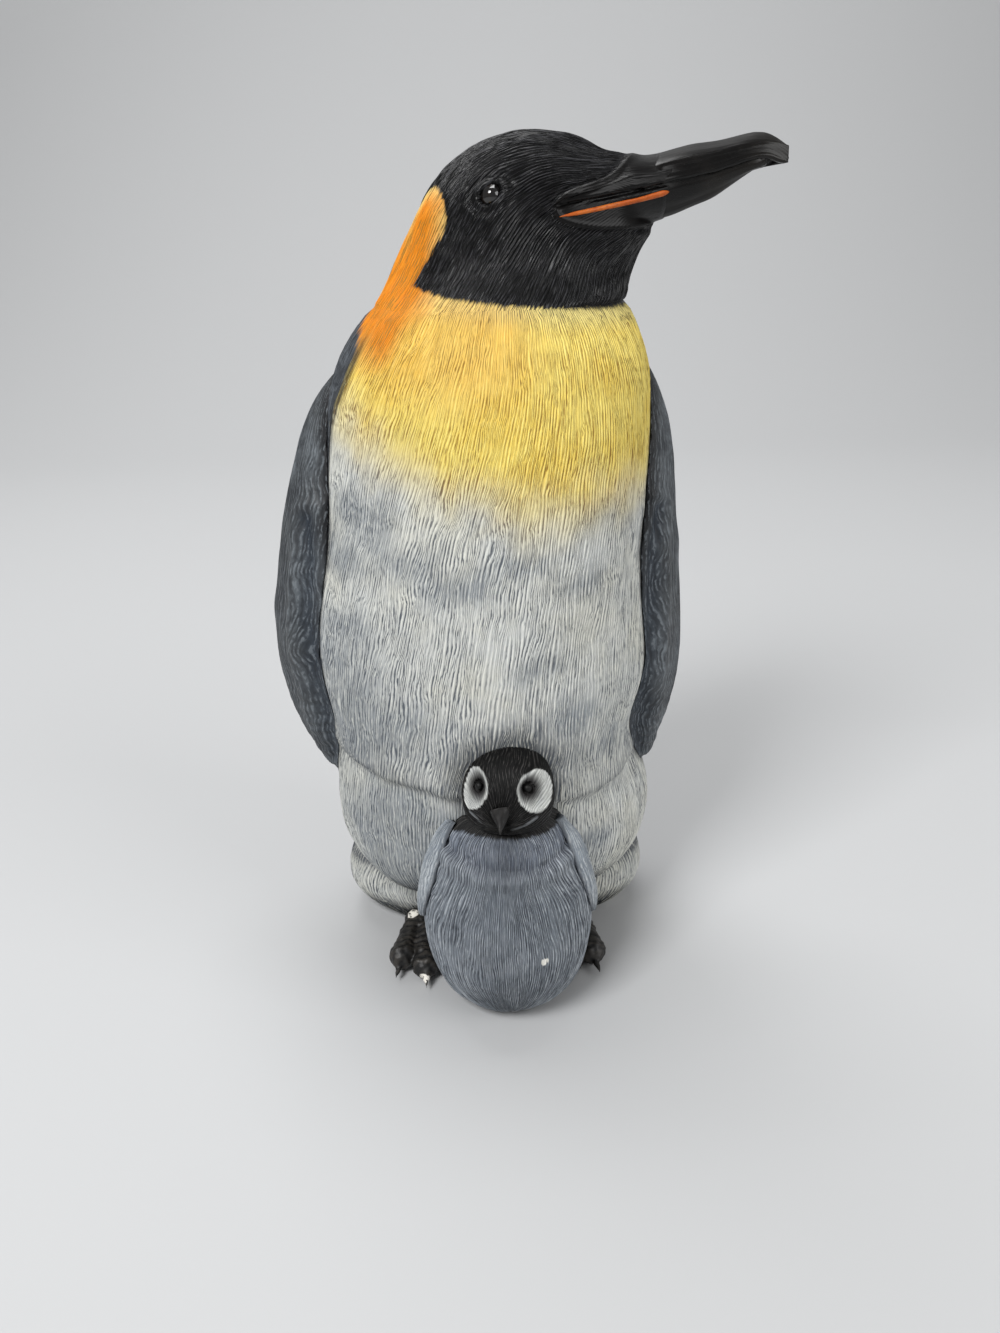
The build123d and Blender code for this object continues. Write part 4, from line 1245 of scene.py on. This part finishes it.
# The hood's pale dry paint on the stroke ridges is partly painted highlight: the bright specks of light on
# its varnished ridges.
black = combed(tree, paint(8, 8, 9), paint(2, 2, 3), 0.8, paint(76, 76, 80), 0.45)
colour = layers(tree, washed["Color"], (hood, black["Color"]), (sheath, paint(7, 6, 6)))
gloss = less(tree, less(tree, 0.6, times(tree, hood, 0.28)), times(tree, sheath, 0.04))
height = times(tree, washed["Height"], less(tree, 1.0, times(tree, sheath, 0.9)))
finish(tree, shader, colour, gloss, height, 0.6)
print("plumage nodes:", len(tree.nodes))

# %% Bill, plates and eyes
tree, shader = new_finish("bill_varnish", (upper_piece, lower_piece), specular=0.25)
tone = mottled(tree, paint(8, 7, 7), paint(22, 20, 18), 120.0, 0.6)["Color"]
# Painted highlight: the bill is paler towards its tip.
tone = blend(tree, mark(tree, "pale_tip", 0.35), tone, paint(62, 58, 52))
hair = noise(tree, 0.8, 4.0)
rough = plus(tree, mark(tree, "matt", 0.3), plus(tree, 0.16, times(tree, hair, 0.2)))
finish(tree, shader, tone, rough, hair, 0.25)

tree, shader = new_finish("bill_plate_paint", plates.values(), specular=0.3)
tone = mottled(tree, paint(182, 84, 20), paint(202, 120, 46), 160.0, 0.6)["Color"]
hair = noise(tree, 2.0, 4.0)
tone = blend(tree, times(tree, steps(tree, hair, 0.5, 0.3), 0.6), tone, paint(118, 48, 14))
finish(tree, shader, tone, 0.38, hair, 0.3, 0.0003)

tree, shader = new_finish("eye_glass_black", eye_beads)
tone = mottled(tree, paint(12, 11, 11), paint(34, 26, 20), 400.0, 0.6)
finish(tree, shader, tone["Color"], plus(tree, 0.06, times(tree, tone["Mask"], 0.1)))
shader.inputs["Coat Weight"].default_value = 0.6

tree, shader = new_finish("chick_eye_black", [chick_eye_piece], specular=0.3)
tone = mottled(tree, paint(8, 8, 8), paint(20, 19, 18), 500.0, 0.6)
finish(tree, shader, tone["Color"], plus(tree, 0.5, times(tree, tone["Mask"], 0.15)))
print("finishes so far:", len(bpy.data.materials))

# %% Flippers, tail and feet
tree, shader = new_finish("slate_flipper_paint", flippers + [tail_piece], specular=0.3)
tone = mottled(tree, paint(62, 65, 67), paint(108, 114, 119), 45.0, 0.85)["Color"]
tone = layers(
    tree, mottled(tree, tone, paint(34, 37, 42), 150.0, 0.75)["Color"],
    # Painted light: the front of the flipper is lighter, where the lamps fall on it.
    (mark(tree, "front", 0.3), paint(88, 93, 98)),
    (mark(tree, "crease", 0.7), paint(38, 47, 58)),
    (mark(tree, "edge"), paint(22, 23, 25)),
)
washed = combed(tree, tone, paint(34, 36, 40), 0.6, paint(134, 141, 147), 0.45)
finish(tree, shader, washed["Color"], 0.5, washed["Height"], 0.4)

tree, shader = new_finish("foot_paint_black", feet)
tone = mottled(tree, paint(30, 28, 26), paint(54, 50, 45), 180.0, 0.7)["Color"]
grain = noise(tree, 700.0, 3.0, along=False)
bare = times(tree, steps(tree, mark(tree, "chip"), 0.25, -0.1), steps(tree, grain, 0.36, 0.46))
tone = layers(tree, tone, (mark(tree, "groove"), paint(12, 11, 11)), (bare, paint(236, 232, 222)))
finish(tree, shader, tone, 0.5, grain, 0.3)
print("finishes so far:", len(bpy.data.materials))

# %% Chick paints
CHICK_BLACK = (paint(11, 11, 11), paint(3, 3, 3), 0.8, paint(82, 80, 78), 0.45)
tree, shader = new_finish("chick_down_paint", [chick_piece])
tone = layers(
    tree, mottled(tree, paint(112, 119, 127), paint(138, 144, 151), 70.0, 0.7)["Color"],
    (mark(tree, "collar", 0.4), paint(100, 108, 126)),
    (mark(tree, "crease", 0.55), paint(64, 71, 86)),
)
washed = combed(tree, tone, paint(44, 49, 58), 0.95, paint(198, 204, 210), 0.55)
cape = edged(tree, mark(tree, "cape"), 0.5, 1.0, 1.6)
bare = edged(tree, less(tree, 0.3, mark(tree, "chip")), 0.3, 1.0, 1.2)
black = combed(tree, *CHICK_BLACK)
tone = layers(tree, washed["Color"], (cape, black["Color"]), (bare, paint(238, 236, 228)))
finish(tree, shader, tone, 0.58, washed["Height"], 0.6)

tree, shader = new_finish("chick_flipper_paint", chick_flippers)
tone = mottled(tree, paint(138, 146, 154), paint(176, 182, 186), 120.0, 0.8)["Color"]
washed = combed(tree, tone, paint(84, 90, 100), 0.7, paint(224, 227, 228), 0.5)
# Painted shade where the flipper meets the body.
tone = blend(tree, mark(tree, "rim", 0.8), washed["Color"], paint(50, 54, 62))
finish(tree, shader, tone, 0.58, washed["Height"], 0.5, 0.0003)

tree, shader = new_finish("chick_hood_paint_black", [dome_piece], specular=0.2)
black = combed(tree, *CHICK_BLACK)
white = mottled(tree, paint(202, 204, 200), paint(172, 175, 175), 220.0, 0.6)["Color"]
white = combed(tree, white, paint(128, 130, 132), 0.7, paint(224, 224, 220), 0.3)["Color"]
# The dish round each eye is painted dark grey: painted shade in the hollow.
hollow = times(tree, steps(tree, mark(tree, "pupil"), 6.0, 2.0), steps(tree, mark(tree, "patch"), 0.3, 1.7))
white = blend(tree, hollow, white, paint(40, 39, 39))
eye_patch = edged(tree, less(tree, mark(tree, "patch"), 0.3), 0.5, 0.7, 1.2)
cheek = times(tree, edged(tree, less(tree, 0.36, mark(tree, "cheek")), 0.5, 0.5), 0.45)
tone = layers(tree, black["Color"], (eye_patch, white), (cheek, paint(160, 164, 168)))
finish(tree, shader, tone, 0.52, black["Height"], 0.7, 0.0003)

tree, shader = new_finish("chick_bill_paint", [chick_bill_piece], specular=0.3)
tone = mottled(tree, paint(22, 21, 21), paint(42, 40, 39), 300.0, 0.6)
finish(tree, shader, tone["Color"], 0.45, tone["Mask"], 0.2, 0.0003)
print("finishes so far:", len(bpy.data.materials))

# %% [markdown]
# Inside and underneath there are plain things: the plug, the pins and the felt. Nobody sees the pins, but the
# felt and the plug show when the figure is turned over, so they get their own finishes on the solids that are
# already there.

# %% Felt, plug and pins
def solids(*names):
    """Solids that stay as they are."""
    return [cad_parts[name] for name in names]


tree, shader = new_finish("green_felt", solids("felt_pad"))
fibre = noise(tree, 1400.0, 5.0, along=False, Distortion=1.5)
tone = mottled(tree, paint(44, 66, 50), paint(66, 88, 68), 220.0, 0.8)["Color"]
tone = blend(tree, steps(tree, fibre, 0.35, 0.65), tone, paint(58, 80, 62))
finish(tree, shader, tone, 0.95, fibre, 0.6, 0.0006)

tree, shader = new_finish("bare_casting_white", solids("base_plug"))
grain = noise(tree, 500.0, 4.0, along=False)
tone = mottled(tree, paint(232, 228, 218), paint(206, 200, 188), 80.0, 0.6)["Color"]
finish(tree, shader, tone, 0.7, grain, 0.3, 0.0003)

PINS = ("bill_pin", "flipper_pins", "tail_pin", "foot_pins", "chick_pin", "chick_head_pin")
tree, shader = new_finish("pin_steel_drawn", solids(*PINS))
drawn = noise(tree, 900.0, 3.0, along=False)
tone = mottled(tree, paint(176, 178, 180), paint(130, 132, 136), 300.0, 0.6)["Color"]
shader.inputs["Metallic"].default_value = 1.0
finish(tree, shader, tone, plus(tree, 0.25, times(tree, drawn, 0.2)), drawn, 0.15, 0.0002)
print("hidden pieces dressed")

# %% [markdown]
# The stage is a pale sweep, a floor that bends up into a wall, made by extruding one edge of a plane and
# rounding the bend. The light is soft: a large lamp in front at the left, a weaker one at the right, one
# behind that draws the rim, one on the wall, and an even sky.

# %% Floor and light
FLOOR_HALF = 1.5
WALL_HEIGHT = 2.2
BEND_RADIUS = 0.8
bm = bmesh.new()
bmesh.ops.create_grid(bm, x_segments=1, y_segments=1, size=FLOOR_HALF)
back_edge = max(bm.edges, key=lambda edge: sum(v.co.y for v in edge.verts))
wall = bmesh.ops.extrude_edge_only(bm, edges=[back_edge])["geom"]
wall_top = [v for v in wall if isinstance(v, bmesh.types.BMVert)]
bmesh.ops.translate(bm, verts=wall_top, vec=(0, 0, WALL_HEIGHT))


def in_bend(vert):
    """Whether a point is where floor and wall meet."""
    return abs(vert.co.y - FLOOR_HALF) < 1e-6 and abs(vert.co.z) < 1e-6


bend = [edge for edge in bm.edges if all(in_bend(vert) for vert in edge.verts)]
bmesh.ops.bevel(bm, geom=bend, offset=BEND_RADIUS, segments=24, profile=0.5, affect="EDGES", material=-1)
sweep = add_object("sweep", smooth_mesh("sweep", bm))
tree, shader = new_finish("sweep_paper", [sweep])
shader.inputs["Base Color"].default_value = paint(184, 185, 186)
shader.inputs["Roughness"].default_value = 0.9


def lamp(name, place, target, size, watts):
    """Square soft lamp that faces a target."""
    light = bpy.data.lights.new(name, "AREA")
    light.size = size
    light.energy = watts
    holder = add_object(name, light)
    holder.location = place
    holder.rotation_euler = (Vector(target) - Vector(place)).to_track_quat("-Z", "Y").to_euler()


lamp("key", (-0.5, -0.65, 0.95), (0, 0, 0.11), 0.45, 12.0)
lamp("fill", (0.8, -0.5, 0.6), (0, 0, 0.11), 0.6, 4.0)
lamp("rim", (-0.3, 0.6, 1.1), (0, 0, 0.12), 0.6, 4.0)
lamp("wall", (0, 0.5, 1.7), (0, 1.5, 0.4), 0.8, 14.0)
world = bpy.data.worlds.new("even_sky")
bpy.context.scene.world = world
world.use_nodes = True
world.node_tree.nodes["Background"].inputs["Color"].default_value = (1, 1, 1, 1)
world.node_tree.nodes["Background"].inputs["Strength"].default_value = 0.28
bpy.context.scene.view_settings.view_transform = "Standard"
